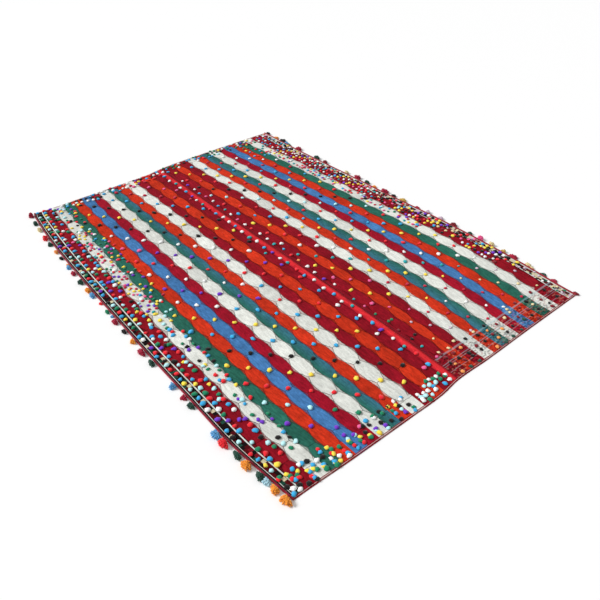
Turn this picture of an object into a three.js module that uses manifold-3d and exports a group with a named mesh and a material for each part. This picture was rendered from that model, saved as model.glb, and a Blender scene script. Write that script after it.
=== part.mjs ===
// A flat-woven rug with pompoms along its two long sides. It lies flat on the floor, z = 0.
//
// The rug is two long woven panels, sewn together down the middle. The seam has drawn the cloth up into a
// rounded ridge, with a few soft ripples beside it. Each long side has a narrow edging with wool pompoms
// along it. Lengths are in millimetres. Places on the cloth are given as across, from left to right, and
// along, from the far end to the near one. In space, across is +X and along is -Y.
import * as THREE from "three";
import { mergeVertices } from "three/addons/utils/BufferGeometryUtils.js";
import Module from "manifold-3d";

// Driving dimensions
const LENGTH = 2000;
const CLOTH_THICKNESS = 3;
const EDGING_WIDTH = 8;
const EDGING_THICKNESS = 4;
const SEWN_GAP = 0.3;
const POMPOM_RADIUS = 13.3;

// Steps of the cloth's grid
const ROW_STEP = 50;
const RIDGE_ZONE = 32;
const RIDGE_STEP = 32 / 6;
const RIPPLE_ZONE = 176;
const RIPPLE_STEP = 16;
const FLAT_STEPS = 3;

// How far across the rug's outer left side, its seam and its outer right side lie, down the length
const OUTLINE = [
  { along: 0, left: -2, seam: 688, right: 1400 },
  { along: 60, left: -12, seam: 688, right: 1402 },
  { along: 300, left: -30, seam: 691, right: 1401 },
  { along: 500, left: -36, seam: 691, right: 1406 },
  { along: 750, left: -38, seam: 694, right: 1413 },
  { along: 1000, left: -38, seam: 700, right: 1418 },
  { along: 1250, left: -37, seam: 704, right: 1429 },
  { along: 1500, left: -32, seam: 706, right: 1430 },
  { along: 1750, left: -27, seam: 706, right: 1419 },
  { along: 1930, left: -8, seam: 702, right: 1402 },
  { along: 2000, left: 0, seam: 696, right: 1398 },
];

// How far past its straight line each end's hem lies: far is towards the far side, near towards the near side
const HEMS = [
  { across: -40, far: -9, near: 0 },
  { across: 60, far: -22, near: 1 },
  { across: 200, far: -20, near: 6 },
  { across: 480, far: -13, near: 11 },
  { across: 600, far: -8, near: 12 },
  { across: 700, far: 11, near: 2 },
  { across: 850, far: 21, near: 6 },
  { across: 1100, far: 26, near: 6 },
  { across: 1440, far: 28, near: 9 },
];
const HEM_REACH = 300;

// The folds beside the seam: crest is the distance of a fold's top from the seam, to the right, reach its
// half width, rise its height, wander how far its crest strays, and wave the length of one stray
const FOLDS = [
  { crest: -16, reach: 16, rise: 9, wander: 0, wave: 640 },
  { crest: -88, reach: 34, rise: 3.5, wander: 8, wave: 910 },
  { crest: 52, reach: 34, rise: 4.5, wander: 6, wave: 730 },
  { crest: 124, reach: 38, rise: 3, wander: 9, wave: 1130 },
];
const FOLD_FADE = 160;
const FOLD_UNEVENNESS = 0.25;

// The pompoms of each side, from the far end: each one's place along the rug, its size as a share of
// POMPOM_RADIUS, and how high it stands as a share of its full height. They are tied at uneven distances.
const POMPOMS = {
  left: [
    [25, 1.15, 1], [115, 1.05, 0.9], [185, 1, 0.9], [275, 1.05, 1], [335, 0.85, 0.9], [410, 0.75, 0.9],
    [470, 0.75, 0.8], [535, 0.55, 0.8], [555, 0.85, 0.8], [610, 0.95, 0.8], [690, 1, 1], [760, 0.95, 1],
    [800, 0.95, 0.9], [865, 0.5, 0.8], [930, 0.7, 0.9], [965, 0.5, 0.8], [1005, 1, 0.9], [1075, 0.8, 0.9],
    [1145, 0.85, 1], [1215, 1.05, 0.9], [1285, 1, 0.9], [1425, 1, 0.9], [1490, 0.85, 0.8], [1535, 0.9, 0.9],
    [1685, 1.25, 1], [1725, 1.35, 0.9], [1785, 1, 0.9], [1830, 1.3, 0.9], [1885, 1.1, 1], [1910, 1, 0.9],
    [1945, 1.15, 0.9], [1990, 1.25, 0.8],
  ],
  right: [
    [20, 1, 0.7], [90, 1, 0.55], [145, 1.35, 0.6], [180, 0.9, 0.7], [205, 0.7, 0.7], [285, 1.4, 0.7],
    [440, 1.25, 0.8], [510, 1, 0.9], [675, 0.85, 1], [755, 1.4, 0.75], [825, 1.05, 0.9], [880, 0.8, 0.7],
    [950, 1.35, 0.7], [1010, 0.85, 0.8], [1070, 1.2, 0.6], [1160, 0.8, 0.6], [1225, 0.8, 1], [1300, 1, 0.7],
    [1375, 1.05, 0.8], [1470, 0.7, 1], [1525, 0.95, 1.1], [1585, 0.95, 1], [1650, 0.75, 1],
    [1700, 1.25, 0.55], [1775, 0.8, 1], [1795, 0.55, 0.8], [1850, 0.85, 0.55], [1900, 0.95, 0.5],
    [1995, 0.7, 0.7],
  ],
};

// How far a pompom's middle lies out from the edging, as a share of its radius
const POMPOM_OUT = { left: 0.72, right: 0.15 };

// A pompom is three locks of wool that lie on the floor round its head and one that stands. turn is the angle
// of a lying lock from straight outwards, in degrees, and the other values are shares of the pompom's radius.
const LYING_LOCKS = [{ turn: -76 }, { turn: 0 }, { turn: 76 }];
const LOCK_HALF_TURN = 23;
const NECK_TURN = 52;
const POMPOM_SHAPE = {
  valley: 0.6,
  neckWidth: 0.35,
  neckTop: 0.62,
  longer: 1.2,
  height: 0.95,
  crown: 0.8,
  standingFoot: 0.85,
  standingRoot: 0.47,
  standingTip: 0.38,
  standingTop: 1.55,
};

const COLOURS = {
  cloth: "#a82a2c",
  edging: "#7d1626",
};

const wasm = await Module();
wasm.setup();

// Smooth curve through a table's rows, read at one place. Between two rows it follows a cubic whose slope at
// each row is that of the line between the rows on its two sides.
function readTable(rows, at, place, column) {
  const last = rows.length - 1;
  let i = 0;
  while (i < last - 1 && at > rows[i + 1][place]) i += 1;
  const slope = (k) => {
    const before = rows[Math.max(k - 1, 0)];
    const after = rows[Math.min(k + 1, last)];
    return (after[column] - before[column]) / (after[place] - before[place]);
  };
  const step = rows[i + 1][place] - rows[i][place];
  const t = THREE.MathUtils.clamp((at - rows[i][place]) / step, 0, 1);
  return (
    rows[i][column] * (1 + 2 * t) * (1 - t) ** 2 +
    slope(i) * step * t * (1 - t) ** 2 +
    rows[i + 1][column] * t ** 2 * (3 - 2 * t) +
    slope(i + 1) * step * t ** 2 * (t - 1)
  );
}

const outline = (along, column) => readTable(OUTLINE, along, "along", column);

// The distance down the rug of a place, with the uneven hems drawn in over the last stretch at each end
function unevenAlong(across, along) {
  const nearFar = Math.max(0, 1 - along / HEM_REACH) ** 2;
  const nearNear = Math.max(0, 1 - (LENGTH - along) / HEM_REACH) ** 2;
  const far = readTable(HEMS, across, "across", "far");
  const near = readTable(HEMS, across, "across", "near");
  return along - far * nearFar + near * nearNear;
}

// Height of the cloth's underside over the floor. Each fold is a squared cosine across, uneven along its
// crest, and dies away towards both ends of the rug.
function lift(fromSeam, along) {
  const end = THREE.MathUtils.clamp(Math.min(along, LENGTH - along) / FOLD_FADE, 0, 1);
  return FOLDS.reduce((height, fold) => {
    const phase = (2 * Math.PI * along) / fold.wave;
    const off = (fromSeam - fold.crest - fold.wander * Math.sin(phase)) / fold.reach;
    if (Math.abs(off) >= 1) return height;
    const uneven = 1 - FOLD_UNEVENNESS * (1 + Math.sin(1.7 * phase + fold.crest)) * 0.5;
    return height + fold.rise * uneven * end * Math.cos((off * Math.PI) / 2) ** 2;
  }, 0);
}

// Point of the rug's plan in space
function placed(across, along, height) {
  return new THREE.Vector3(across, -unevenAlong(across, along), height);
}

// Closed sheet of even thickness over a grid of points of its underside. Rows run down the rug and each row's
// points run from left to right.
function sheet(grid, thickness) {
  const rows = grid.length;
  const columns = grid[0].length;
  const under = grid.flat();
  const over = under.map((p) => new THREE.Vector3(p.x, p.y, p.z + thickness));
  const points = [...under, ...over];
  const index = [];
  const low = (r, c) => r * columns + c;
  const high = (r, c) => rows * columns + r * columns + c;
  const quad = (a, b, c, d) => index.push(a, b, c, a, c, d);
  for (let r = 0; r < rows - 1; r += 1) {
    for (let c = 0; c < columns - 1; c += 1) {
      quad(high(r, c), high(r + 1, c), high(r + 1, c + 1), high(r, c + 1));
      quad(low(r, c), low(r, c + 1), low(r + 1, c + 1), low(r + 1, c));
    }
    quad(low(r, 0), low(r + 1, 0), high(r + 1, 0), high(r, 0));
    const edge = columns - 1;
    quad(low(r, edge), high(r, edge), high(r + 1, edge), low(r + 1, edge));
  }
  for (let c = 0; c < columns - 1; c += 1) {
    const end = rows - 1;
    quad(low(0, c), high(0, c), high(0, c + 1), low(0, c + 1));
    quad(low(end, c), low(end, c + 1), high(end, c + 1), high(end, c));
  }
  const geometry = new THREE.BufferGeometry().setFromPoints(points);
  geometry.setIndex(index);
  return geometry;
}

// Distances of the cloth's grid lines from the seam, closest together over the ridge, out to a panel's edge
function gridLines(side, width) {
  const lines = [];
  const step = side < 0 ? RIDGE_STEP : RIPPLE_STEP;
  for (let d = 0; d < RIDGE_ZONE - step / 2; d += step) lines.push(d);
  for (let d = RIDGE_ZONE; d <= RIPPLE_ZONE; d += RIPPLE_STEP) lines.push(d);
  for (let k = 1; k <= FLAT_STEPS; k += 1) {
    lines.push(RIPPLE_ZONE + ((width - RIPPLE_ZONE) * k) / FLAT_STEPS);
  }
  return lines;
}

const rowPlaces = Array.from({ length: LENGTH / ROW_STEP + 1 }, (_, r) => r * ROW_STEP);

// One woven panel, from the edging of its side to the seam. side is -1 for the left panel and 1 for the right
// one.
function panel(side) {
  const column = side < 0 ? "left" : "right";
  const grid = rowPlaces.map((along) => {
    const seam = outline(along, "seam") + (side * SEWN_GAP) / 2;
    const edge = outline(along, column) - side * (EDGING_WIDTH + SEWN_GAP);
    const line = gridLines(side, Math.abs(edge - seam)).map((d) => {
      const across = seam + side * d;
      return placed(across, along, lift(side * d, along));
    });
    return side < 0 ? line.reverse() : line;
  });
  return sheet(grid, CLOTH_THICKNESS);
}

// Closed mesh as a solid that can be joined to others
function solid(geometry) {
  const bare = geometry.clone();
  bare.deleteAttribute("normal");
  bare.deleteAttribute("uv");
  const merged = mergeVertices(bare, 1e-4);
  return new wasm.Manifold(
    new wasm.Mesh({
      numProp: 3,
      vertProperties: merged.attributes.position.array,
      triVerts: new Uint32Array(merged.index.array),
    }),
  );
}

// Joined solid as a geometry
function geometryOf(body) {
  const mesh = body.getMesh();
  const geometry = new THREE.BufferGeometry();
  geometry.setAttribute("position", new THREE.BufferAttribute(mesh.vertProperties, 3));
  geometry.setIndex(new THREE.BufferAttribute(mesh.triVerts, 1));
  return geometry;
}

// Plan of a pompom's lying locks, with straight outwards along +X, drawn a little longer along the edging.
// Each lock has two corners at its cut tip, a valley parts it from the next one, and a neck ends inside the
// edging, which is as far from the pompom's middle as out says.
function locksPlan(radius, out) {
  const { valley, neckWidth, longer } = POMPOM_SHAPE;
  const at = (turn, share) => {
    const angle = THREE.MathUtils.degToRad(turn);
    return new THREE.Vector2(radius * share * Math.cos(angle), radius * longer * share * Math.sin(angle));
  };
  const neckEnd = -out - EDGING_WIDTH / 2;
  const points = [new THREE.Vector2(neckEnd, -neckWidth * radius)];
  LYING_LOCKS.forEach(({ turn }, k) => {
    const before = k === 0 ? turn - NECK_TURN : (turn + LYING_LOCKS[k - 1].turn) / 2;
    points.push(at(before, valley), at(turn - LOCK_HALF_TURN, 1), at(turn + LOCK_HALF_TURN, 1));
  });
  points.push(at(LYING_LOCKS.at(-1).turn + NECK_TURN, valley));
  points.push(new THREE.Vector2(neckEnd, neckWidth * radius));
  return new THREE.Shape(points);
}

// Bodies of one pompom round the z axis: the lying locks, level on the floor and drawn in towards the crown,
// and the four-sided lock that stands on them and widens to its cut tip. tall is the share of its full
// height.
function pompomBodies(radius, out, tall) {
  const shape = POMPOM_SHAPE;
  const top = shape.height * radius * tall;
  const lying = new THREE.ExtrudeGeometry(locksPlan(radius, out), { depth: top, bevelEnabled: false });
  const places = lying.attributes.position;
  for (let i = 0; i < places.count; i += 1) {
    if (places.getZ(i) > 0) {
      places.setX(i, Math.max(places.getX(i), -radius * shape.neckTop) * shape.crown);
      places.setY(i, places.getY(i) * shape.crown);
    }
  }
  const foot = shape.standingFoot * radius * tall;
  const tip = shape.standingTop * radius * tall;
  const standing = new THREE.CylinderGeometry(
    shape.standingTip * radius,
    shape.standingRoot * radius,
    tip - foot,
    4,
  );
  standing.rotateX(Math.PI / 2);
  standing.translate(0, 0, (tip + foot) / 2);
  return [lying, standing];
}

// The edging of one side and its pompoms, as one body. side is -1 for the left and 1 for the right.
function edging(side) {
  const column = side < 0 ? "left" : "right";
  const strip = rowPlaces.map((along) => {
    const outer = outline(along, column);
    const inner = outer - side * EDGING_WIDTH;
    return [Math.min(outer, inner), Math.max(outer, inner)].map((a) => placed(a, along, 0));
  });
  let body = solid(sheet(strip, EDGING_THICKNESS));
  for (const [along, size, tall] of POMPOMS[column]) {
    const radius = POMPOM_RADIUS * size;
    const out = POMPOM_OUT[column] * radius;
    const place = placed(outline(along, column) + side * out, along, 0);
    for (const piece of pompomBodies(radius, out, tall)) {
      if (side < 0) piece.rotateZ(Math.PI);
      piece.translate(place.x, place.y, place.z);
      body = body.add(solid(piece));
    }
  }
  return geometryOf(body);
}

function mesh(name, geometry, colour) {
  geometry.computeVertexNormals();
  const material = new THREE.MeshStandardMaterial({ color: colour, roughness: 0.95, metalness: 0 });
  const made = new THREE.Mesh(geometry, material);
  made.name = name;
  return made;
}

const rug = new THREE.Group();
rug.add(
  mesh("panel_left", panel(-1), COLOURS.cloth),
  mesh("panel_right", panel(1), COLOURS.cloth),
  mesh("edging_left", edging(-1), COLOURS.edging),
  mesh("edging_right", edging(1), COLOURS.edging),
);

// The rug's own origin is on the floor, under the middle of its outer box.
const middle = new THREE.Box3().setFromObject(rug).getCenter(new THREE.Vector3());
const jajim = new THREE.Group();
rug.position.set(-middle.x, -middle.y, 0);
jajim.add(rug);

export default jajim;
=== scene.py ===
"""A jajim rug: two striped wool panels, sewn together, with tied knots, and pompoms along its sides.

Places on the rug are given in its plan, in millimetres: across, from the left edge to the right one, and
along, from the far end to the near one. In space across is +X and along is -Y, in metres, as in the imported
model.
"""

import logging
from dataclasses import dataclass, field
from enum import Enum
from functools import partial
from math import ceil, floor

import bpy
import numpy as np
from mathutils import Matrix, Vector


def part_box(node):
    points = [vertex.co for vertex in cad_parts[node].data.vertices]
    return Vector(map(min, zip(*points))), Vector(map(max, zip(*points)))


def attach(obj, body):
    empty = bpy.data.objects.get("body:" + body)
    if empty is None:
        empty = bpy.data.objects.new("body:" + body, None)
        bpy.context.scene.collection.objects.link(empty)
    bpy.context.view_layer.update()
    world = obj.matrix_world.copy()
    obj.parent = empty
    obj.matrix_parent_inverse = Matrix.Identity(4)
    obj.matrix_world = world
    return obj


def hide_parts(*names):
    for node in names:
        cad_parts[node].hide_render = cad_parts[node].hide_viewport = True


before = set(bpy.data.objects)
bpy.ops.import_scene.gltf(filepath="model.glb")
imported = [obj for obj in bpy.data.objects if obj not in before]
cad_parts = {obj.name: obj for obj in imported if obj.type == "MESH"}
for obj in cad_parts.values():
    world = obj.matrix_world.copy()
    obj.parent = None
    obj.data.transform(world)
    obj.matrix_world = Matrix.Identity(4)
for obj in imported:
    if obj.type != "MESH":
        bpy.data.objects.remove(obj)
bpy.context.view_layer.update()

MM = 0.001
FULL_TURN = 2 * np.pi
FAR_OFF = 100.0  # a distance in millimetres that puts plain weave clear of every oval's edge
log = logging.getLogger("jajim")


class Wool(Enum):
    """Dyed wool, as sRGB colours."""

    @property
    def linear(self) -> np.ndarray:
        """The dye as three linear light values."""
        srgb = np.array([int(self.value[i : i + 2], 16) for i in (1, 3, 5)]) / 255
        return np.where(srgb <= 0.04045, srgb / 12.92, ((srgb + 0.055) / 1.055) ** 2.4)


class Dye(Wool):
    """The wool that the cloth and its edgings are woven from."""

    ORANGE_RED = "#c8331a"
    CRIMSON = "#9c1228"
    WINE = "#8c1020"
    DARK_WINE = "#560a12"
    # The ridge's red; where it lies on the fold's crest it is partly painted highlight
    SCARLET = "#cf2b32"
    BLUE = "#4679b0"
    GREEN = "#2a6657"
    SEA = "#3b7086"
    UNDYED = "#e0e2db"
    CREAM = "#d3c9a6"
    SOOT = "#171010"
    EDGE_RED = "#9c1230"


class Yarn(Wool):
    """The wool that knots and pompoms are tied from."""

    WHITE = "#f4f8f6"
    ICE = "#b8ecf2"
    BLUE = "#35a8de"
    YELLOW = "#ffdc48"
    BLACK = "#120d0d"
    RED = "#e81f2c"
    CRIMSON = "#c0183c"
    PURPLE = "#7232c4"
    GREEN = "#0f7f58"
    TEAL = "#1fa3a8"
    PINK = "#e85a94"
    ORANGE = "#ee9a52"
    MAROON = "#7d1422"
    AMBER = "#f2962f"
    GARNET = "#a80f38"
    OLIVE = "#c8a54c"
    SKY = "#5b9ed0"
    PINE = "#1d4a3c"
    OAT = "#e0cf9e"
    LILAC = "#c9b3c4"
    FROST = "#a9cfdc"


def yarns(words: str) -> tuple[Yarn, ...]:
    """The yarns that a row of words names, in order."""
    return tuple(Yarn[word.upper()] for word in words.split())


class Side(Enum):
    """The two halves of the rug, as the sign of their way out from the seam."""

    LEFT = -1
    RIGHT = 1

    @property
    def word(self) -> str:
        """The side's name in lower case."""
        return self.name.lower()


class Weave(Enum):
    """How a stripe of the cloth is woven."""

    PLAIN = "plain"
    OVALS = "ovals"
    CHEQUER = "chequer"


def smooth_read(places: np.ndarray, values: np.ndarray, at: np.ndarray) -> np.ndarray:
    """Reads a smooth curve through a table.

    Between two rows the curve is a cubic. Its slope at a row is that of the line between the two beside it.
    Past the table's ends it keeps the last value.

    Args:
        places: the rows' places, rising.
        values: the rows' values.
        at: the places to read.

    Returns:
        The values at those places.
    """
    places, values, at = (np.asarray(given, float) for given in (places, values, at))
    rows = np.arange(len(places))
    after = np.minimum(rows + 1, len(rows) - 1)
    before = np.maximum(rows - 1, 0)
    slopes = (values[after] - values[before]) / (places[after] - places[before])
    i = np.clip(np.searchsorted(places, at, side="left") - 1, 0, len(rows) - 2)
    step = places[i + 1] - places[i]
    t = np.clip((at - places[i]) / step, 0, 1)
    from_low = values[i] * (1 + 2 * t) * (1 - t) ** 2 + slopes[i] * step * t * (1 - t) ** 2
    from_high = values[i + 1] * t**2 * (3 - 2 * t) + slopes[i + 1] * step * t**2 * (t - 1)
    return from_low + from_high


@dataclass
class Plan:
    """The rug's plan: its outline, the run of its warp, its hems and the folds beside its seam.

    All is in millimetres. A row of folds holds the crest's place from the seam, its reach to either side, its
    rise, how far it wanders and the length of that wave.
    """

    length: float = 2000.0
    thickness: float = 3.0
    edging_width: float = 8.0
    sewn_gap: float = 0.3
    hem_reach: float = 300.0
    fold_fade: float = 160.0
    fold_unevenness: float = 0.25
    row_step: float = 50.0
    warp_columns: tuple[str, ...] = (
        "along", "left", "wine", "crimson", "orange", "seam", "garnet", "ruby", "border", "right",
    )
    warp_rows: tuple[tuple[float, ...], ...] = (
        (0, -2, 84, 318, 457, 688, 842, 1042, 1284, 1400),
        (60, -12, 82, 316, 458, 688, 845, 1045, 1285, 1402),
        (300, -30, 74, 312, 462, 691, 850, 1057, 1300, 1401),
        (500, -36, 66, 312, 465, 691, 864, 1068, 1308, 1406),
        (750, -38, 63, 312, 463, 694, 866, 1075, 1315, 1413),
        (1000, -38, 62, 311, 463, 700, 867, 1080, 1322, 1418),
        (1250, -37, 60, 311, 465, 704, 866, 1078, 1330, 1429),
        (1500, -32, 67, 311, 463, 706, 865, 1077, 1327, 1430),
        (1750, -27, 70, 313, 463, 706, 850, 1060, 1315, 1419),
        (1930, -8, 85, 325, 468, 702, 840, 1038, 1290, 1402),
        (2000, 0, 90, 328, 470, 696, 838, 1034, 1286, 1398),
    )
    rest_along: float = 1000.0
    hem_columns: tuple[str, ...] = ("across", "far", "near")
    hem_rows: tuple[tuple[float, ...], ...] = (
        (-40, -9, 0),
        (60, -22, 1),
        (200, -20, 6),
        (480, -13, 11),
        (600, -8, 12),
        (700, 11, 2),
        (850, 21, 6),
        (1100, 26, 6),
        (1440, 28, 9),
    )
    fold_rows: tuple[tuple[float, ...], ...] = (
        (-16, 16, 9, 0, 640),
        (-88, 34, 3.5, 8, 910),
        (52, 34, 4.5, 6, 730),
        (124, 38, 3, 9, 1130),
    )
    shift: np.ndarray = field(default_factory=lambda: np.zeros(2))

    def line(self, name: str, along: np.ndarray) -> np.ndarray:
        """How far across one named warp line lies at each distance along the rug."""
        table = np.array(self.warp_rows, float)
        return smooth_read(table[:, 0], table[:, self.warp_columns.index(name)], along)

    def hem(self, name: str, across: np.ndarray) -> np.ndarray:
        """How far one end's hem lies past its straight line."""
        table = np.array(self.hem_rows, float)
        return smooth_read(table[:, 0], table[:, self.hem_columns.index(name)], across)

    def uneven(self, across: np.ndarray, along: np.ndarray) -> np.ndarray:
        """Distance down the rug with the uneven hems drawn in, each fading with the square of the way.

        Args:
            across: places across the rug.
            along: distances from the far end.

        Returns:
            The distances with the hems drawn in.
        """
        far = np.maximum(0, 1 - along / self.hem_reach) ** 2
        near = np.maximum(0, 1 - (self.length - along) / self.hem_reach) ** 2
        return along - self.hem("far", across) * far + self.hem("near", across) * near

    def lift(self, from_seam: np.ndarray, along: np.ndarray) -> np.ndarray:
        """Height of the cloth's underside.

        Each fold is a squared cosine across, uneven along its crest, which strays as a sine, and it dies away
        towards both ends of the rug.

        Args:
            from_seam: distance to the right of the seam.
            along: distance from the far end.

        Returns:
            The height over the floor.
        """
        end = np.clip(np.minimum(along, self.length - along) / self.fold_fade, 0, 1)
        height = np.zeros(np.broadcast(from_seam, along).shape)
        for crest, reach, rise, wander, wave in self.fold_rows:
            phase = FULL_TURN * along / wave
            off = np.clip((from_seam - crest - wander * np.sin(phase)) / reach, -1, 1)
            uneven = 1 - self.fold_unevenness * (1 + np.sin(1.7 * phase + crest)) / 2
            height = height + rise * uneven * end * np.cos(off * np.pi / 2) ** 2
        return height

    def to_space(self, across: np.ndarray, along: np.ndarray, height: np.ndarray) -> np.ndarray:
        """Points of the plan in space, in metres, with x, y and z on the last axis.

        Args:
            across: places across the rug.
            along: distances from the far end.
            height: heights over the floor.

        Returns:
            The points, with x, y and z on the last axis.
        """
        across, along, height = np.broadcast_arrays(across, along, height)
        x = across + self.shift[0]
        y = self.shift[1] - self.uneven(across, along)
        return np.stack([x, y, height], axis=-1) * MM

    def fit_to_frame(self) -> None:
        """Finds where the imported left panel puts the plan, from the panel's seam side and its far hem."""
        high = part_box("panel_left")[1]
        rows = np.arange(0, self.length + 1, self.row_step)
        seam = self.line("seam", rows) - self.sewn_gap / 2
        far_hem = self.hem("far", seam[0])
        self.shift = np.array([high.x / MM - seam.max(), high.y / MM - far_hem])


@dataclass(frozen=True)
class Lattice:
    """Where the ovals of a panel lie along it: rows of a place and the half ovals passed up to it."""

    rows: tuple[tuple[float, float], ...]

    def count(self, along: np.ndarray) -> np.ndarray:
        """The number of half ovals passed at each distance along."""
        table = np.array(self.rows, float)
        return smooth_read(table[:, 0], table[:, 1], along)

    def along(self, count: np.ndarray) -> np.ndarray:
        """The distance along at which each number of half ovals is passed."""
        table = np.array(self.rows, float)
        return smooth_read(table[:, 1], table[:, 0], count)


@dataclass(frozen=True)
class OvalForm:
    """The form of one oval of a stripe: how wide it is at its middle and its waist, and how it stands up.

    Across the stripe, offset is -1 at its left side and 1 at its right one. Waistness is 0 at an oval's
    middle and 1 at its waist. The half width is 1 + bulge at the middle and 1 half way to the waist. From the
    shoulder on, a taper brings it down to its value at the waist. The neighbouring stripes are half an oval
    further on, so they bulge in where this stripe has its waist.
    """

    bulge: float = 0.05
    shoulder: float = 0.46
    waist: float = 0.62
    pale_waist: float = 0.52
    taper: float = 1.05
    puff: float = 1.0
    roundness: float = 0.5

    def half_width(self, waistness: np.ndarray) -> np.ndarray:
        """The oval's half width, in half stripes, at each waistness.

        Args:
            waistness: 0 at an oval's middle and 1 at its waist.

        Returns:
            The half widths.
        """
        swell = np.clip(1 - 2 * waistness, 0, 1)
        pinch = np.clip((waistness - self.shoulder) / (1 - self.shoulder), 0, 1)
        return 1 + self.bulge * swell - (1 - self.waist) * pinch**self.taper

    def relief(self, offset: np.ndarray, waistness: np.ndarray) -> np.ndarray:
        """Height of the cloth's puffed ovals over the pinched lines between them.

        Each oval is a rounded back: one less the squared share of its half width, to a power. A place takes
        the higher of its own stripe's back and its neighbour's.

        Args:
            offset: places across the stripe, from -1 to 1.
            waistness: 0 at an oval's middle and 1 at its waist.

        Returns:
            The height in millimetres.
        """
        own = self.half_width(waistness)
        beside = self.half_width(1 - waistness)
        own_back = np.clip(1 - (np.abs(offset) / own) ** 2, 0, 1) * np.minimum(own, 1)
        beside_back = np.clip(1 - ((2 - np.abs(offset)) / beside) ** 2, 0, 1)
        return self.puff * np.maximum(own_back, beside_back) ** self.roundness


@dataclass(frozen=True)
class Stripe:
    """One warp stripe of a panel: its width at mid-length, its dye, its weave and the steps of its grid."""

    width: float
    dye: Wool
    weave: Weave = Weave.PLAIN
    steps: int = 1
    far_dye: Wool | None = None

    @property
    def ovals(self) -> bool:
        """Whether the stripe is a chain of ovals."""
        return self.weave is Weave.OVALS


def chain(*ovals: tuple) -> tuple[Stripe, ...]:
    """Stripes woven as chains of ovals: a width and a dye each, and a second dye where it changes across."""
    return tuple(Stripe(width, dye, Weave.OVALS, 8, *far) for width, dye, *far in ovals)


@dataclass(frozen=True)
class Knot:
    """A tied knot: its place across the panel at rest, its place along it, its yarn and its size."""

    rest: float
    along: float
    yarn: Wool
    size: float = 1.0


def sheet_faces(rows: int, columns: int) -> np.ndarray:
    """Faces of a closed sheet over a grid: its top, its underside and the four walls between them.

    Args:
        rows: number of grid points down the sheet.
        columns: number of grid points across it.

    Returns:
        The grid row, the grid column and the layer of each face's four corners, in the order that points
        outwards. The layer is 0 for the underside and 1 for the top.
    """
    cells = np.meshgrid(np.arange(rows - 1), np.arange(columns - 1), indexing="ij")
    r, c = (values.reshape(-1, 1) for values in cells)
    down = np.arange(rows - 1)[:, None]
    over = np.arange(columns - 1)[:, None]
    late = np.array([0, 0, 1, 1])
    middle = np.array([0, 1, 1, 0])
    parts = (
        (r + middle, c + late, 1),
        (r + late, c + middle, 0),
        (down + middle, 0, late),
        (down + late, columns - 1, middle),
        (0, over + late, middle),
        (rows - 1, over + middle, late),
    )
    return np.concatenate([np.stack(np.broadcast_arrays(*part)) for part in parts], axis=1)


def mesh_piece(name: str, points: np.ndarray, faces: np.ndarray) -> bpy.types.Object:
    """Makes a mesh object, smooth shaded, from arrays.

    Args:
        name: the object's name.
        points: its points in space, one row each.
        faces: the points of each face, all faces with the same number of corners.

    Returns:
        The object, linked to the scene.
    """
    mesh = bpy.data.meshes.new(name)
    sides = faces.shape[1]
    mesh.vertices.add(len(points))
    mesh.vertices.foreach_set("co", points.astype(np.float32).ravel())
    mesh.loops.add(faces.size)
    mesh.loops.foreach_set("vertex_index", faces.astype(np.int32).ravel())
    mesh.polygons.add(len(faces))
    mesh.polygons.foreach_set("loop_start", np.arange(0, faces.size, sides, dtype=np.int32))
    mesh.update(calc_edges=True)
    mesh.polygons.foreach_set("use_smooth", np.ones(len(faces), bool))
    mesh.validate()
    piece = bpy.data.objects.new(name, mesh)
    bpy.context.scene.collection.objects.link(piece)
    return piece


def put_colours(piece: bpy.types.Object, name: str, colours: np.ndarray, domain: str) -> None:
    """Stores linear colours, of three or four values, as an attribute of a piece's points or corners.

    Args:
        piece: the piece.
        name: the attribute's name.
        colours: a row of values for each place.
        domain: POINT or CORNER.
    """
    if colours.shape[1] == 3:
        colours = np.concatenate([colours, np.ones((len(colours), 1))], axis=1)
    attribute = piece.data.attributes.new(name, "FLOAT_COLOR", domain)
    attribute.data.foreach_set("color", colours.astype(np.float32).ravel())


def put_uv(piece: bpy.types.Object, name: str, values: np.ndarray) -> None:
    """Stores two values for each face corner as a UV map."""
    layer = piece.data.uv_layers.new(name=name)
    layer.uv.foreach_set("vector", values.astype(np.float32).ravel())


def turns(sides: int) -> np.ndarray:
    """The angles of a ring's points."""
    return FULL_TURN * np.arange(sides) / sides


def ring_pairs(sides: int) -> tuple[np.ndarray, np.ndarray]:
    """The numbers of a ring's points, and of the point after each."""
    point = np.arange(sides)
    return point, (point + 1) % sides


def band_faces(rings: int, sides: int) -> np.ndarray:
    """Four-sided faces between rings of points that lie one after another.

    Args:
        rings: the number of rings.
        sides: the points of each.

    Returns:
        The faces, facing outward.
    """
    point, after = ring_pairs(sides)
    band = np.stack([point, after, after + sides, point + sides], axis=1)
    return copies(band, sides, rings - 1)


def halved(faces: np.ndarray) -> np.ndarray:
    """Four-sided faces, each as two triangles."""
    return np.concatenate([faces[:, [0, 1, 2]], faces[:, [0, 2, 3]]])


def fan_faces(first: int, sides: int, tip: int) -> np.ndarray:
    """Triangles from the ring that starts at a point to its tip."""
    point, after = ring_pairs(sides)
    return np.stack([first + point, first + after, np.full(sides, tip)], axis=1)


def tube_faces(rings: int, sides: int, start_tip: int, end_tip: int) -> np.ndarray:
    """Triangles of a tube of rings that a fan closes at each end.

    Args:
        rings: the number of rings.
        sides: the points of each.
        start_tip: the number of the point that closes the first ring.
        end_tip: the number of the point that closes the last one.

    Returns:
        The triangles, facing outward.
    """
    start = fan_faces(0, sides, start_tip)[:, [1, 0, 2]]
    end = fan_faces((rings - 1) * sides, sides, end_tip)
    return np.concatenate([halved(band_faces(rings, sides)), start, end])


def copies(faces: np.ndarray, points: int, count: int) -> np.ndarray:
    """The faces of a number of like bodies, each with so many points more."""
    return (faces[None] + points * np.arange(count)[:, None, None]).reshape(-1, faces.shape[1])


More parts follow.
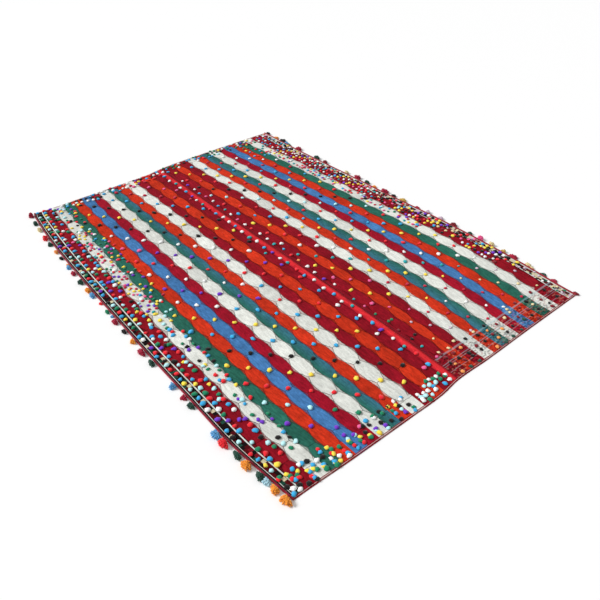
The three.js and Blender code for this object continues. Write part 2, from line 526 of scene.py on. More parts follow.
class NodeSketch:
    """Short calls that add the nodes of a material and join them."""

    SPECULAR = 0.08
    SHEEN_ROUGHNESS = 0.6
    PALE_STEP = (0.3, 0.5)

    def __init__(self, name: str) -> None:
        """Starts a material of that name.

        Args:
            name: the material's name.
        """
        self.material = bpy.data.materials.new(name)
        self.material.use_nodes = True
        self.tree = self.material.node_tree
        self.shader = self.tree.nodes["Principled BSDF"]

    def feed(self, node: bpy.types.Node, inputs: dict) -> None:
        """Joins a node's inputs, by name or number, to values, or sets them.

        Args:
            node: the node.
            inputs: what each input is joined or set to.
        """
        for key, value in inputs.items():
            if isinstance(value, Value):
                self.tree.links.new(value.socket, node.inputs[key])
            else:
                node.inputs[key].default_value = (*value.linear, 1) if isinstance(value, Wool) else value

    def add(self, kind: str, inputs: dict, output: object = 0, **settings: object) -> "Value":
        """Adds a node.

        Args:
            kind: its type, without ShaderNode.
            inputs: a value for each input that isn't left as it is.
            output: the name or number of the output wanted.
            settings: its own properties.

        Returns:
            The output.
        """
        node = self.tree.nodes.new("ShaderNode" + kind)
        for key, value in settings.items():
            setattr(node, key, value)
        self.feed(node, inputs)
        return Value(self, node.outputs[output])

    def math(self, operation: str, *values: object, clamp: bool = False) -> "Value":
        """One sum on up to three values."""
        return self.add("Math", dict(enumerate(values)), operation=operation, use_clamp=clamp)

    def mix(self, share: object, first: object, second: object, blend: str = "MIX") -> "Value":
        """Two colours mixed by a share, with a blend mode."""
        return self.add("Mix", {0: share, 6: first, 7: second}, 2, data_type="RGBA", blend_type=blend)

    def step(self, value: object, low: float, high: float) -> "Value":
        """A smooth step that is 0 below low and 1 above high."""
        inputs = {"Value": value, "From Min": low, "From Max": high}
        return self.add("MapRange", inputs, interpolation_type="SMOOTHSTEP")

    def band(self, value: object, low: float, high: float, soft: float) -> "Value":
        """A band that is 1 between low and high, with soft sides."""
        return self.step(value, low - soft, low + soft) - self.step(value, high - soft, high + soft)

    def attribute(self, name: str, output: str) -> "Value":
        """An output of the node that reads a named attribute of the mesh."""
        return self.add("Attribute", {}, output, attribute_name=name)

    def uv(self, name: str) -> tuple["Value", "Value"]:
        """The two values of a UV map."""
        first = self.add("SeparateXYZ", {0: self.add("UVMap", {}, uv_map=name)})
        return first, Value(self, first.socket.node.outputs[1])

    def vector(self, x: object, y: object, z: object = 0.0) -> "Value":
        """Three values as a vector."""
        return self.add("CombineXYZ", {0: x, 1: y, 2: z})

    def noise(self, vector: object, scale: float, detail: float = 2.0) -> "Value":
        """Soft noise from 0 to 1."""
        return self.add("TexNoise", {"Vector": vector, "Scale": scale, "Detail": detail})

    def dice(self, x: object, y: object) -> "Value":
        """A value from 0 to 1 that is even over each whole-numbered place."""
        return self.add("TexWhiteNoise", {"Vector": self.vector(x, y)}, noise_dimensions="2D")

    def spread(self, value: object, amount: float) -> "Value":
        """A noise value from 0 to 1 as a factor about 1, from 1 - amount to 1 + amount."""
        return self.between(value, 1 - amount, 1 + amount)

    def between(self, share: object, first: float, second: float) -> "Value":
        """A value that goes from the first to the second as a share goes from 0 to 1."""
        return share * (second - first) + first

    def dim(self, colour: object, factor: object) -> "Value":
        """A colour times a factor."""
        return self.mix(1.0, colour, self.vector(factor, factor, factor), "MULTIPLY")

    def paleness(self, colour: object) -> "Value":
        """1 where a colour is that of pale wool, and 0 where it is deep."""
        return self.step(self.add("RGBToBW", {0: colour}), *self.PALE_STEP)

    def ramp(self, value: object, stops: tuple[tuple[float, Wool], ...]) -> "Value":
        """A dye for each stretch of a value, with no blending.

        Args:
            value: a value from 0 to 1.
            stops: where each stretch starts, and its dye.

        Returns:
            The colour.
        """
        colour = self.add("ValToRGB", {0: value})
        ramp = colour.socket.node.color_ramp
        ramp.interpolation = "CONSTANT"
        while len(ramp.elements) < len(stops):
            ramp.elements.new(1.0)
        for element, (place, dye) in zip(ramp.elements, stops):
            element.position = place
            element.color = (*dye.linear, 1)
        return colour

    def finish(self, colour: object, height_mm: object, roughness: float, sheen: float) -> bpy.types.Material:
        """Joins colour and height to the shader.

        Args:
            colour: the base colour.
            height_mm: the fine relief, in millimetres.
            roughness: how matt the wool is.
            sheen: how much light its loose fibres catch.

        Returns:
            The material.
        """
        bump = self.add("Bump", {"Distance": MM, "Strength": 1.0, "Height": height_mm})
        self.feed(self.shader, {
            "Normal": bump, "Base Color": colour, "Roughness": roughness, "Sheen Weight": sheen,
            "Specular IOR Level": self.SPECULAR, "Sheen Roughness": self.SHEEN_ROUGHNESS,
        })
        return self.material


@dataclass(frozen=True)
class Value:
    """An output of a material's node. A formula of such values adds the Math nodes that work it out."""

    sketch: NodeSketch
    socket: bpy.types.NodeSocket

    def __add__(self, other: object) -> "Value":
        """The sum."""
        return self.sketch.math("ADD", self, other)

    def __sub__(self, other: object) -> "Value":
        """The difference."""
        return self.sketch.math("SUBTRACT", self, other)

    def __rsub__(self, other: object) -> "Value":
        """A number less this value."""
        return self.sketch.math("SUBTRACT", other, self)

    def __mul__(self, other: object) -> "Value":
        """The product."""
        return self.sketch.math("MULTIPLY", self, other)

    def __truediv__(self, other: object) -> "Value":
        """The quotient."""
        return self.sketch.math("DIVIDE", self, other)

    def __abs__(self) -> "Value":
        """The value without its sign."""
        return self.sketch.math("ABSOLUTE", self)

    def __floor__(self) -> "Value":
        """The whole number below."""
        return self.sketch.math("FLOOR", self)

    def swing(self) -> "Value":
        """The size of the sine of this value's half turns: 0 at each whole number and 1 half way."""
        return abs(self.sketch.math("SINE", self * np.pi))


@dataclass(frozen=True)
class ClothFinish:
    """Woven wool with a warp-faced rib, ovals outlined by the pinched lines between them, and uneven dye."""

    name: str
    form: OvalForm = OvalForm()
    half_stripe: float = 25.0
    half_oval: float = 57.0
    rib_pitch: float = 2.3
    weft_pitch: float = 3.4
    rib_depth: float = 0.28
    rib_shade: tuple[float, float] = (0.8, 1.1)
    fuzz_scale: float = 0.9
    fuzz_depth: float = 0.25
    line_depth: float = 0.6
    stray_scale: float = 0.07
    stray: tuple[float, float] = (0.2, 0.06)
    outline_width: float = 1.1
    outline_soft: float = 0.4
    waist_reach: float = 9.0
    # How far the outline darkens the dye: partly a dark line of the weave, and partly painted shade in the
    # pinched groove
    outline_line_and_shade: float = 0.5
    pale_outline_line_and_shade: float = 0.72
    line_pitch: float = 4.2
    line_swing: float = 0.7
    corner_blend: float = 0.25
    pale_corner_blend: float = 0.36
    corner_tone: float = 0.66
    cell_tint: float = 0.11
    cloud_scale: float = 0.018
    patch_scale: tuple[float, float] = (0.12, 0.035)
    grain_scale: float = 0.16
    thread_length: float = 19.0
    wear: tuple[float, ...] = (0.3, 0.5, 0.3, 0.15)
    pale_calm: float = 0.6
    chequer_size: tuple[float, float] = (13.0, 14.0)
    chequer: tuple[tuple[float, Wool], ...] = (
        (0.0, Dye.SOOT), (0.36, Dye.DARK_WINE), (0.62, Yarn.PINE), (0.76, Yarn.MAROON), (0.93, Dye.CREAM),
    )
    weft_lines: tuple[tuple[float, float], ...] = ()
    weft_line_share: float = 0.3
    plain_from: float = 5000.0
    plain_fade: float = 14.0
    fleck_size: tuple[float, float] = (8.5, 5.0)
    fleck_shares: tuple[float, float, float] = (0.48, 0.14, 0.4)
    hem_lines: tuple[tuple[float, float, Dye], ...] = (
        (-9.0, 3.4, Dye.WINE), (3.4, 4.7, Dye.UNDYED), (4.7, 8.0, Dye.WINE),
    )
    hem_line_share: float = 0.85
    length: float = 2000.0
    roughness: float = 0.92
    sheen: float = 0.0

    def material(self) -> bpy.types.Material:
        """Builds the material.

        Returns:
            The material.
        """
        sketch = ClothSketch(self)
        colour, line = sketch.ovals()
        colour = sketch.ends(sketch.wear(sketch.chequer(colour)))
        ribs = sketch.ribs()
        colour = sketch.dim(colour, sketch.between(ribs, *self.rib_shade))
        fuzz = sketch.noise(sketch.place, self.fuzz_scale)
        height = ribs * self.rib_depth + fuzz * self.fuzz_depth - line * self.line_depth
        return sketch.finish(colour, height, self.roughness, self.sheen)


class ClothSketch(NodeSketch):
    """The nodes of a cloth, which read its UV maps and its two dye attributes.

    The map Weave holds the place across and along in metres. The map Cells holds four times the stripe's
    number plus the offset across it, and the ovals passed. The dye attributes hold the stripe's own colour
    and its nearer neighbour's, with a share of oval weave as their fourth value.
    """

    def __init__(self, look: ClothFinish) -> None:
        """Starts the material of a finish, and reads the place in millimetres.

        Args:
            look: the finish.
        """
        super().__init__(look.name)
        self.look = look
        self.across, self.along = (value / MM for value in self.uv("Weave"))
        self.place = self.vector(self.across, self.along)

    def half_width(self, waistness: Value, bulge: Value, pale: Value) -> Value:
        """The form's half width at a waistness. Pale ovals have a narrower waist than deep ones.

        Args:
            waistness: 0 at an oval's middle and 1 at its waist.
            bulge: how far its middle swells.
            pale: 1 for a pale oval and 0 for a deep one.

        Returns:
            The half width, in half stripes.
        """
        form = self.look.form
        swell = self.math("MULTIPLY_ADD", waistness, -2.0, 1.0, clamp=True)
        pinch = self.math("DIVIDE", waistness - form.shoulder, 1 - form.shoulder, clamp=True)
        depth = self.between(pale, 1 - form.waist, 1 - form.pale_waist)
        return swell * bulge + 1.0 - self.math("POWER", pinch, form.taper) * depth

    def ovals(self) -> tuple[Value, Value]:
        """The chains of ovals.

        The half width follows the same form as the relief. Inside its own oval a place has its stripe's dye,
        and inside a neighbour's it has that one's. Between them the two are mixed in fine lines round the
        oval, undimmed where one of them is pale and darker where both are deep. A fine dark line runs round
        each oval, also where two ovals of a chain meet at a waist. That line is partly a dark line of the
        weave and partly painted shade in the pinched groove.

        Returns:
            The colour, and how pinched the cloth is.
        """
        look = self.look
        own, own_weave = (self.attribute("own_dye", output) for output in ("Color", "Alpha"))
        beside, beside_weave = (self.attribute("beside_dye", output) for output in ("Color", "Alpha"))
        stripes, passed = self.uv("Cells")
        stripe = floor(stripes * 0.25 + 0.5)
        stray = self.noise(self.place, look.stray_scale, 3.0) - 0.5
        stray_across, stray_along = look.stray
        offset = stray * stray_across + abs(stripes - stripe * 4.0)
        passed = stray * stray_along + passed
        waistness = abs(self.math("FRACT", passed) * 2.0 - 1.0)
        middleness = 1.0 - waistness
        both = own_weave * beside_weave
        bulge = both * look.form.bulge
        own_pale = self.paleness(own)
        beside_pale = self.paleness(beside)
        pale = self.math("MAXIMUM", own_pale, beside_pale)

        inner = (self.half_width(waistness, bulge, own_pale) - offset) * look.half_stripe
        inner = inner + (1.0 - own_weave) * FAR_OFF
        outer = (self.half_width(middleness, bulge, beside_pale) + (offset - 2.0)) * look.half_stripe
        outer = outer - (1.0 - both) * FAR_OFF
        in_own = self.step(inner, -0.5, 0.5)
        in_beside = self.step(outer, -0.5, 0.5)

        body = self.dim(own, self.spread(self.dice(stripe, floor(passed)), look.cell_tint))
        ring = self.math("COSINE", inner * (FULL_TURN / look.line_pitch))
        blend = self.between(pale, look.corner_blend, look.pale_corner_blend) * (ring * look.line_swing + 1.0)
        corner = self.dim(self.mix(blend, own, beside), self.between(pale, look.corner_tone, 1.0))
        colour = self.mix(in_own, self.mix(in_beside, corner, beside), body)

        width, soft = look.outline_width, look.outline_soft
        round_ovals = (self.band(edge, -width, width, soft) for edge in (inner, outer))
        across_waist = self.band(middleness * look.half_oval, -look.waist_reach, width, soft) * in_own
        line = self.math("MAXIMUM", self.math("MAXIMUM", *round_ovals), across_waist) * own_weave
        # The outline's darkening is partly a dark line of the weave and partly painted shade in the pinched
        # groove
        line_and_groove_shade = self.between(own_pale, look.outline_line_and_shade, look.pale_outline_line_and_shade)
        return self.dim(colour, 1.0 - line * line_and_groove_shade), line

    def wear(self, colour: Value) -> Value:
        """Uneven dye: broad clouds, patches drawn out along the warp, and each rib's threads a little apart.

        Pale wool is the calmer one.

        Args:
            colour: the colour of the even dye.

        Returns:
            The uneven colour.
        """
        look = self.look
        wide, long = look.patch_scale
        cloud = self.noise(self.place, look.cloud_scale)
        patch = self.noise(self.vector(self.across * wide, self.along * long), 1.0, 3.0)
        grain = self.noise(self.place, look.grain_scale)
        rib = floor(self.across / look.rib_pitch)
        thread = self.dice(rib, floor(self.dice(rib, 7.0) * 5.0 + self.along / look.thread_length))
        calm = self.between(self.paleness(colour), 1.0, look.pale_calm)
        for value, amount in zip((cloud, patch, grain, thread), look.wear):
            colour = self.dim(colour, self.spread((value - 0.5) * calm + 0.5, amount))
        return colour

    def chequer(self, colour: Value) -> Value:
        """Puts weft bars of dark wools over the stripes that are woven as a chequer.

        Args:
            colour: the colour of the other stripes.

        Returns:
            The colour with the bars.
        """
        width, length = self.look.chequer_size
        column = floor(self.across / width)
        bar = floor(column * 0.5 + self.along / length)
        bars = self.ramp(self.dice(column, bar), self.look.chequer)
        return self.mix(self.attribute("chequer", "Fac"), colour, bars)

    def ends(self, colour: Value) -> Value:
        """Puts both hems' coloured lines over the stripes, and the flecks of an end with no ovals.

        Args:
            colour: the colour between the two ends.

        Returns:
            The colour with both ends.
        """
        look = self.look
        width, length = look.fleck_size
        dark, pale, warm = look.fleck_shares
        plain = self.step(self.along, look.plain_from, look.plain_from + look.plain_fade)
        row = floor(self.along / length)
        fleck = self.dice(floor(self.dice(row, 3.0) * 9.0 + self.across / width), row)
        colour = self.dim(colour, 1.0 - self.step(fleck, 0.6, 0.68) * plain * dark)
        colour = self.mix(self.step(fleck, 0.2, 0.12) * plain * pale, colour, Dye.CREAM)
        colour = self.mix(self.band(fleck, 0.36, 0.5, 0.03) * plain * warm, colour, Dye.CRIMSON)
        for low, high in look.weft_lines:
            share = self.band(self.along, low, high, 1.5) * look.weft_line_share
            colour = self.mix(share, colour, Yarn.FROST)
        from_end = self.math("MINIMUM", self.along, look.length - self.along)
        for low, high, dye in look.hem_lines:
            share = self.band(from_end, low, high, 0.3) * look.hem_line_share
            colour = self.mix(share, colour, dye)
        return colour

    def ribs(self) -> Value:
        """Height of the weave from 0 to 1: rounded ribs, crossed by the weft half a step from the next.

        Returns:
            The height.
        """
        warp = self.across / self.look.rib_pitch
        weft = self.along / self.look.weft_pitch + floor(warp) * 0.5
        return warp.swing() * (weft.swing() * 0.5 + 0.5)


@dataclass(frozen=True)
class YarnFinish:
    """Loose wool yarn, dyed by an attribute of the mesh, with fibres that catch the light."""

    name: str
    fibre_scale: float = 700.0
    fibre_depth: float = 0.35
    unevenness: float = 0.22
    roughness: float = 0.95
    sheen: float = 0.2

    def material(self) -> bpy.types.Material:
        """Builds the material from the attribute named dye.

        Returns:
            The material.
        """
        sketch = NodeSketch(self.name)
        fibres = sketch.noise(sketch.add("TexCoord", {}, "Object"), self.fibre_scale, 3.0)
        colour = sketch.dim(sketch.attribute("dye", "Color"), sketch.spread(fibres, self.unevenness))
        return sketch.finish(colour, fibres * self.fibre_depth, self.roughness, self.sheen)


@dataclass
class Panel:
    """One woven panel: its stripes from its left side to its right one, and the knots tied into it."""

    plan: Plan
    side: Side
    stripes: tuple[Stripe, ...]
    warp_lines: tuple[str, ...]
    lattice: Lattice
    ovals_end: float
    finish: ClothFinish
    form: OvalForm = OvalForm()
    cloth_step: float = 8.0
    hem_step: float = 1.5
    hem_width: float = 9.0
    hem_rise: float = 0.9
    fade: float = 30.0
    ripple: float = 0.35
    ripple_waves: tuple[float, ...] = (31.0, 47.0, 83.0, 29.0)
    hem_round: tuple[float, float] = (1.4, 2.0)

    @property
    def name(self) -> str:
        """The name of the panel's node."""
        return f"panel_{self.side.word}"

    def warp_places(self, along: np.ndarray) -> np.ndarray:
        """Places across of the panel's warp lines, the outer ones drawn in to the cloth's own edges.

        Args:
            along: distances from the far end.

        Returns:
            One column for each line, with the lines on the last axis.
        """
        lines = np.stack([self.plan.line(name, along) for name in self.warp_lines], axis=-1)
        outer, inner = self.plan.edging_width + self.plan.sewn_gap, self.plan.sewn_gap / 2
        left, right = (outer, inner) if self.side is Side.LEFT else (inner, outer)
        lines[..., 0] += left
        lines[..., -1] -= right
        return lines

    def across(self, rest: np.ndarray, along: np.ndarray) -> np.ndarray:
        """Where warp threads run: each keeps its share of the way between the two named lines beside it.

        Args:
            rest: the threads' places across at the rest distance.
            along: distances from the far end, of the same shape as rest.

        Returns:
            Their places across there.
        """
        at_rest = self.warp_places(np.array(self.plan.rest_along))
        here = self.warp_places(along)
        i = np.clip(np.searchsorted(at_rest, rest) - 1, 0, len(at_rest) - 2)
        share = (rest - at_rest[i]) / (at_rest[i + 1] - at_rest[i])
        low, high = (np.take_along_axis(here, j[..., None], axis=-1)[..., 0] for j in (i, i + 1))
        return low + share * (high - low)

    @property
    def edges(self) -> np.ndarray:
        """Places of the stripes' sides across the panel at the rest distance.

        Returns:
            The places, one more than there are stripes.
        """
        ends = self.warp_places(np.array(self.plan.rest_along))
        widths = np.array([stripe.width for stripe in self.stripes])
        return ends[0] + np.concatenate([[0], np.cumsum(widths)]) * (ends[-1] - ends[0]) / widths.sum()

    @property
    def phases(self) -> np.ndarray:
        """For each stripe 0 or 1: the number of half ovals by which its waists are set off."""
        return np.cumsum([stripe.ovals for stripe in self.stripes]) % 2

    def middle(self, number: int) -> float:
        """The place across of a stripe's middle, at rest."""
        return float(self.edges[number : number + 2].mean())

    def under(self, across: np.ndarray, along: np.ndarray) -> np.ndarray:
        """Height of the cloth's underside, which follows the folds beside the seam."""
        from_seam = across - self.plan.line("seam", along) - self.side.value * self.plan.sewn_gap / 2
        return self.plan.lift(from_seam, along)

    def top(self, rest: np.ndarray, along: np.ndarray) -> np.ndarray:
        """Height of the cloth's upper face: its underside, its thickness, its ovals and its rolled hems.

        Args:
            rest: places across the unstretched panel.
            along: distances from the far end.

        Returns:
            The heights, in millimetres.
        """
        edges = self.edges
        i = np.clip(np.searchsorted(edges, rest) - 1, 0, len(self.stripes) - 1)
        offset = 2 * (rest - edges[i]) / (edges[i + 1] - edges[i]) - 1
        passed = (self.lattice.count(along) - self.phases[i]) / 2
        waistness = np.abs(2 * (passed % 1) - 1)
        ovals = np.array([stripe.ovals for stripe in self.stripes], float)[i]
        relief = self.form.relief(offset, waistness) * ovals * self.strength(along)
        a, b, c, d = self.ripple_waves
        ripple = self.ripple * np.sin(along / a + rest / b) * np.sin(along / c - rest / d)
        under = self.under(self.across(rest, along), along)
        return under + self.plan.thickness + relief + ripple + self.hem_roll(along)

    def strength(self, along: np.ndarray) -> np.ndarray:
        """How far the cloth is woven in ovals: 1, fading to 0 past the place where they end."""
        return np.clip((self.ovals_end + self.fade - along) / self.fade, 0, 1)

    def hem_roll(self, along: np.ndarray) -> np.ndarray:
        """Height of the hems: two rolls side by side within the hem's width, and a rounded outer end.

        Args:
            along: distances from the far end.

        Returns:
            The heights, in millimetres.
        """
        from_end = np.minimum(along, self.plan.length - along)
        inside = np.clip(from_end / self.hem_width, 0, 1)
        depth, reach = self.hem_round
        rolls = self.hem_rise * np.abs(np.sin(FULL_TURN * inside))
        return rolls - depth * np.clip(1 - from_end / reach, 0, 1)

    def rows(self) -> np.ndarray:
        """Distances of the grid's rows from the far end, closest together in the hems.

        Returns:
            The distances.
        """
        hem = np.arange(0, self.hem_width, self.hem_step)
        inner = self.plan.length - 2 * self.hem_width
        steps = int(round(inner / self.cloth_step))
        middle = self.hem_width + inner * np.arange(steps + 1) / steps
        return np.concatenate([hem, middle, self.plan.length - hem[::-1]])

    def columns(self) -> tuple[np.ndarray, np.ndarray]:
        """The grid's lines down the cloth.

        Returns:
            Their places across at rest, and the number of the stripe to the right of each but the last.
        """
        edges = self.edges
        steps = [stripe.steps for stripe in self.stripes]
        parts = [np.linspace(*pair, endpoint=False) for pair in zip(edges, edges[1:], steps)]
        return np.concatenate([*parts, edges[-1:]]), np.repeat(np.arange(len(steps)), steps)

    def build(self) -> bpy.types.Object:
        """Makes the cloth as a closed sheet: a grid whose lines follow the warp, given thickness.

        Returns:
            The cloth, dressed and placed in the frame.
        """
        rows = self.rows()
        lines, numbers = self.columns()
        along, rest = np.meshgrid(rows, lines, indexing="ij")
        across = self.across(rest, along)
        under = self.plan.to_space(across, along, self.under(across, along))
        over = self.plan.to_space(across, along, self.top(rest, along))
        row, column, layer = sheet_faces(len(rows), len(lines))
        faces = (layer * len(rows) + row) * len(lines) + column
        points = np.concatenate([under.reshape(-1, 3), over.reshape(-1, 3)])
        piece = mesh_piece(f"cloth_{self.side.word}", points, faces)
        strip = np.minimum(column.min(axis=1), len(numbers) - 1)
        middle = (lines[strip] + lines[strip + 1]) / 2
        self.dye(piece, rows[row], lines[column], numbers[strip], middle)
        piece.data.materials.append(self.finish.material())
        return piece

    def dye(self, piece: bpy.types.Object, along: np.ndarray, rest: np.ndarray, stripe: np.ndarray,
            middle: np.ndarray) -> None:
        """Stores the cloth's maps and dyes on every corner of its faces.

        Args:
            piece: the cloth.
            along: each corner's distance from the far end, a row to each face.
            rest: each corner's place across, at rest.
            stripe: each face's stripe.
            middle: each face's middle across, at rest.
        """
        edges = self.edges
        here = stripe[:, None]
        start = edges[here]
        offset = 2 * (rest - start) / (edges[here + 1] - start) - 1
        passed = (self.lattice.count(along) - self.phases[here]) / 2
        put_uv(piece, "Weave", np.stack([rest, along], axis=-1) * MM)
        put_uv(piece, "Cells", np.stack([4 * here + offset, passed], axis=-1))

        near = np.array([s.dye.linear for s in self.stripes])
        far = np.array([(s.far_dye or s.dye).linear for s in self.stripes])
        ovals = np.array([s.ovals for s in self.stripes], float)
        share = (offset[..., None] + 1) / 2
        own = near[here] * (1 - share) + far[here] * share
        to_right = (middle > (edges[stripe] + edges[stripe + 1]) / 2)[:, None]
        other = np.clip(here + np.where(to_right, 1, -1), 0, len(self.stripes) - 1)
        beside = np.where(to_right[..., None], near[other], far[other])
        for name, colour, weave in (
            ("own_dye", own, ovals[here] * self.strength(along)),
            ("beside_dye", np.repeat(beside, 4, axis=1), np.repeat(ovals[other], 4, axis=1)),
        ):
            values = np.concatenate([colour, weave[..., None]], axis=-1)
            put_colours(piece, name, values.reshape(-1, 4), "CORNER")
        chequer = np.array([s.weave is Weave.CHEQUER for s in self.stripes], np.float32)[here]
        attribute = piece.data.attributes.new("chequer", "FLOAT", "CORNER")
        attribute.data.foreach_set("value", np.repeat(chequer, 4))


@dataclass(frozen=True)
class KnotMaker:
    """Turns the places of knots into one mesh of small cut tufts: three rings each, a crown and a base."""

    seed: int
    radius: float = 8.6
    height: float = 7.5
    sides: int = 9
    sink: float = 0.6
    ragged: float = 0.27
    uneven: float = 0.12
    lean: float = 1.6
    sizes: tuple[float, float] = (0.86, 1.14)
    lengths: tuple[float, float] = (1.0, 1.12)
    tones: tuple[float, float] = (0.9, 1.1)
    ring_shares: tuple[float, ...] = (0.72, 1.0, 0.78)
    ring_heights: tuple[float, ...] = (0.0, 0.42, 0.84)
    # Painted light: the lowest ring is darkened as painted shade where the tuft meets the cloth, and the top
    # ring is lightened as painted highlight
    ring_shade_and_highlight: tuple[float, ...] = (0.38, 0.9, 1.06)
    # Painted highlight on the crown, and painted shade on the base
    crown_highlight_and_base_shade: tuple[float, float] = (1.12, 0.4)

    def build(self, name: str, panel: Panel, knots: list[Knot]) -> bpy.types.Object:
        """Makes the tufts, with every point set a little off its place.

        A ring's points go round as a circle drawn longer one way. The lowest ring is drawn in and sunk into
        the cloth, and a point in its middle closes the tuft.

        Args:
            name: the piece's name.
            panel: the panel that carries the knots.
            knots: the knots.

        Returns:
            The joined tufts.
        """
        rng = np.random.default_rng(self.seed)
        count = len(knots)
        rest, along, size = np.array([(knot.rest, knot.along, knot.size) for knot in knots]).T
        size = (size * rng.uniform(*self.sizes, count))[:, None, None]
        centre = panel.plan.to_space(panel.across(rest, along), along, panel.top(rest, along) - self.sink)
        shares = np.array(self.ring_shares)[:, None]
        heights = np.array(self.ring_heights)[:, None]
        turn = turns(self.sides)
        jitter = rng.uniform(-1, 1, (count, 3, self.sides))
        reach = self.radius * size * shares * (1 + self.ragged * jitter)
        yaw = rng.uniform(0, FULL_TURN, count)[:, None, None]
        longer = rng.uniform(*self.lengths, count)[:, None, None]
        lean = rng.uniform(-self.lean, self.lean, (count, 1, 2))
        x = reach * np.cos(turn) * longer
        y = reach * np.sin(turn) / longer
        z = self.height * size * heights * (1 + self.uneven * rng.uniform(-1, 1, (count, 3, self.sides)))
        turned = np.stack([x * np.cos(yaw) - y * np.sin(yaw), x * np.sin(yaw) + y * np.cos(yaw), z], axis=-1)
        turned[..., :2] += lean[:, :, None, :] * heights[..., None]
        tips = 3 * self.sides
        crown = np.concatenate([lean, self.height * size], axis=-1)
        points = np.concatenate([turned.reshape(count, tips, 3), crown, np.zeros((count, 1, 3))], axis=1) * MM
        faces = copies(tube_faces(3, self.sides, tips + 1, tips), tips + 2, count)
        piece = mesh_piece(name, (points + centre[:, None]).reshape(-1, 3), faces)
        # Each point's colour holds painted shade low down and painted highlight on top, times a random tone
        # of the yarn
        shade = np.concatenate([np.repeat(self.ring_shade_and_highlight, self.sides), self.crown_highlight_and_base_shade])
        tone = shade * rng.uniform(*self.tones, (count, len(shade)))
        colour = np.array([knot.yarn.linear for knot in knots])
        put_colours(piece, "dye", (colour[:, None] * tone[..., None]).reshape(-1, 3).clip(0, 1), "POINT")
        return piece


BORDER_YARNS = yarns("blue black ice green red blue yellow ice green red blue white green purple red")
SMALL_YARNS = yarns("crimson yellow blue pink green red ice purple crimson teal yellow pink")
RIGHT_FAR_YARNS = yarns(
    "white red teal white maroon blue teal red white black blue yellow crimson white maroon purple "
    "yellow red pink"
)
RIGHT_NEAR_YARNS = yarns(
    "yellow yellow purple black maroon oat black red black pink maroon blue yellow yellow black purple "
    "white black red"
)
RIGHT_END_YARNS = yarns("lilac black white crimson oat green lilac maroon white")
RIDGE_YARNS = yarns("blue white teal white blue purple white teal red blue white white")
VALLEY_YARNS = yarns(
    "white purple white blue pink white blue teal white pink white red white white teal blue red orange "
    "white"
)
VALLEY_END_YARNS = yarns("teal pink green green maroon black")
CORNER_YARNS = yarns("yellow green red blue black white blue")
NEAR_YARNS = yarns("yellow green red blue white yellow black green blue pink black purple ice")
SEAM_END_YARNS = yarns("green ice blue white ice blue white")

Palette = tuple[tuple[Yarn, float], ...]
COMMON_KNOTS: Palette = (
    *zip(yarns("white ice red blue yellow"), (0.17, 0.08, 0.2, 0.15, 0.12)),
    *zip(yarns("green purple black crimson orange"), (0.1, 0.06, 0.06, 0.04, 0.02)),
)


@dataclass(frozen=True)
class Scatter:
    """A dense strip of knots: columns across, rows along, how far they stray, and yarns by weight."""

    columns: tuple[float, ...]
    start: float
    end: float
    pitch: float = 24.0
    slope: float = 0.35
    stray: float = 4.0
    keep: float = 0.85
    size: float = 0.9
    palette: Palette = COMMON_KNOTS


@dataclass(frozen=True)
class Rows:
    """Slanting rows of knots over a border, a yarn to each row."""

    columns: tuple[float, ...]
    start: float
    end: float
    pitch: float
    yarns: tuple[Yarn, ...]
    base: float
    slope: float = 0.95
    stray: float = 2.5
    keep: float = 0.94
    swaps: float = 0.1
    size: float = 1.0
    phase: float = 0.0


@dataclass(frozen=True)
class Column:
    """One line of knots down the rug, a yarn to each."""

    rest: float
    start: float
    end: float
    pitch: float
    yarns: tuple[Yarn, ...]
    size: float = 1.0


@dataclass(frozen=True)
class Diagonal:
    """One diagonal's yarn, the one that takes over from a stripe on, and the one tied beside the seam."""

    yarn: Yarn
    then: Yarn | None = None
    change: int = 99
    seam: Yarn | None = None

    def at(self, number: int, beside_seam: bool) -> Yarn:
        """The yarn at a stripe, counted from the panel's first chain of ovals.

        Args:
            number: the stripe's number.
            beside_seam: whether that stripe lies beside the seam.

        Returns:
            The yarn.
        """
        if beside_seam and self.seam:
            return self.seam
        return self.then if self.then and number >= self.change else self.yarn


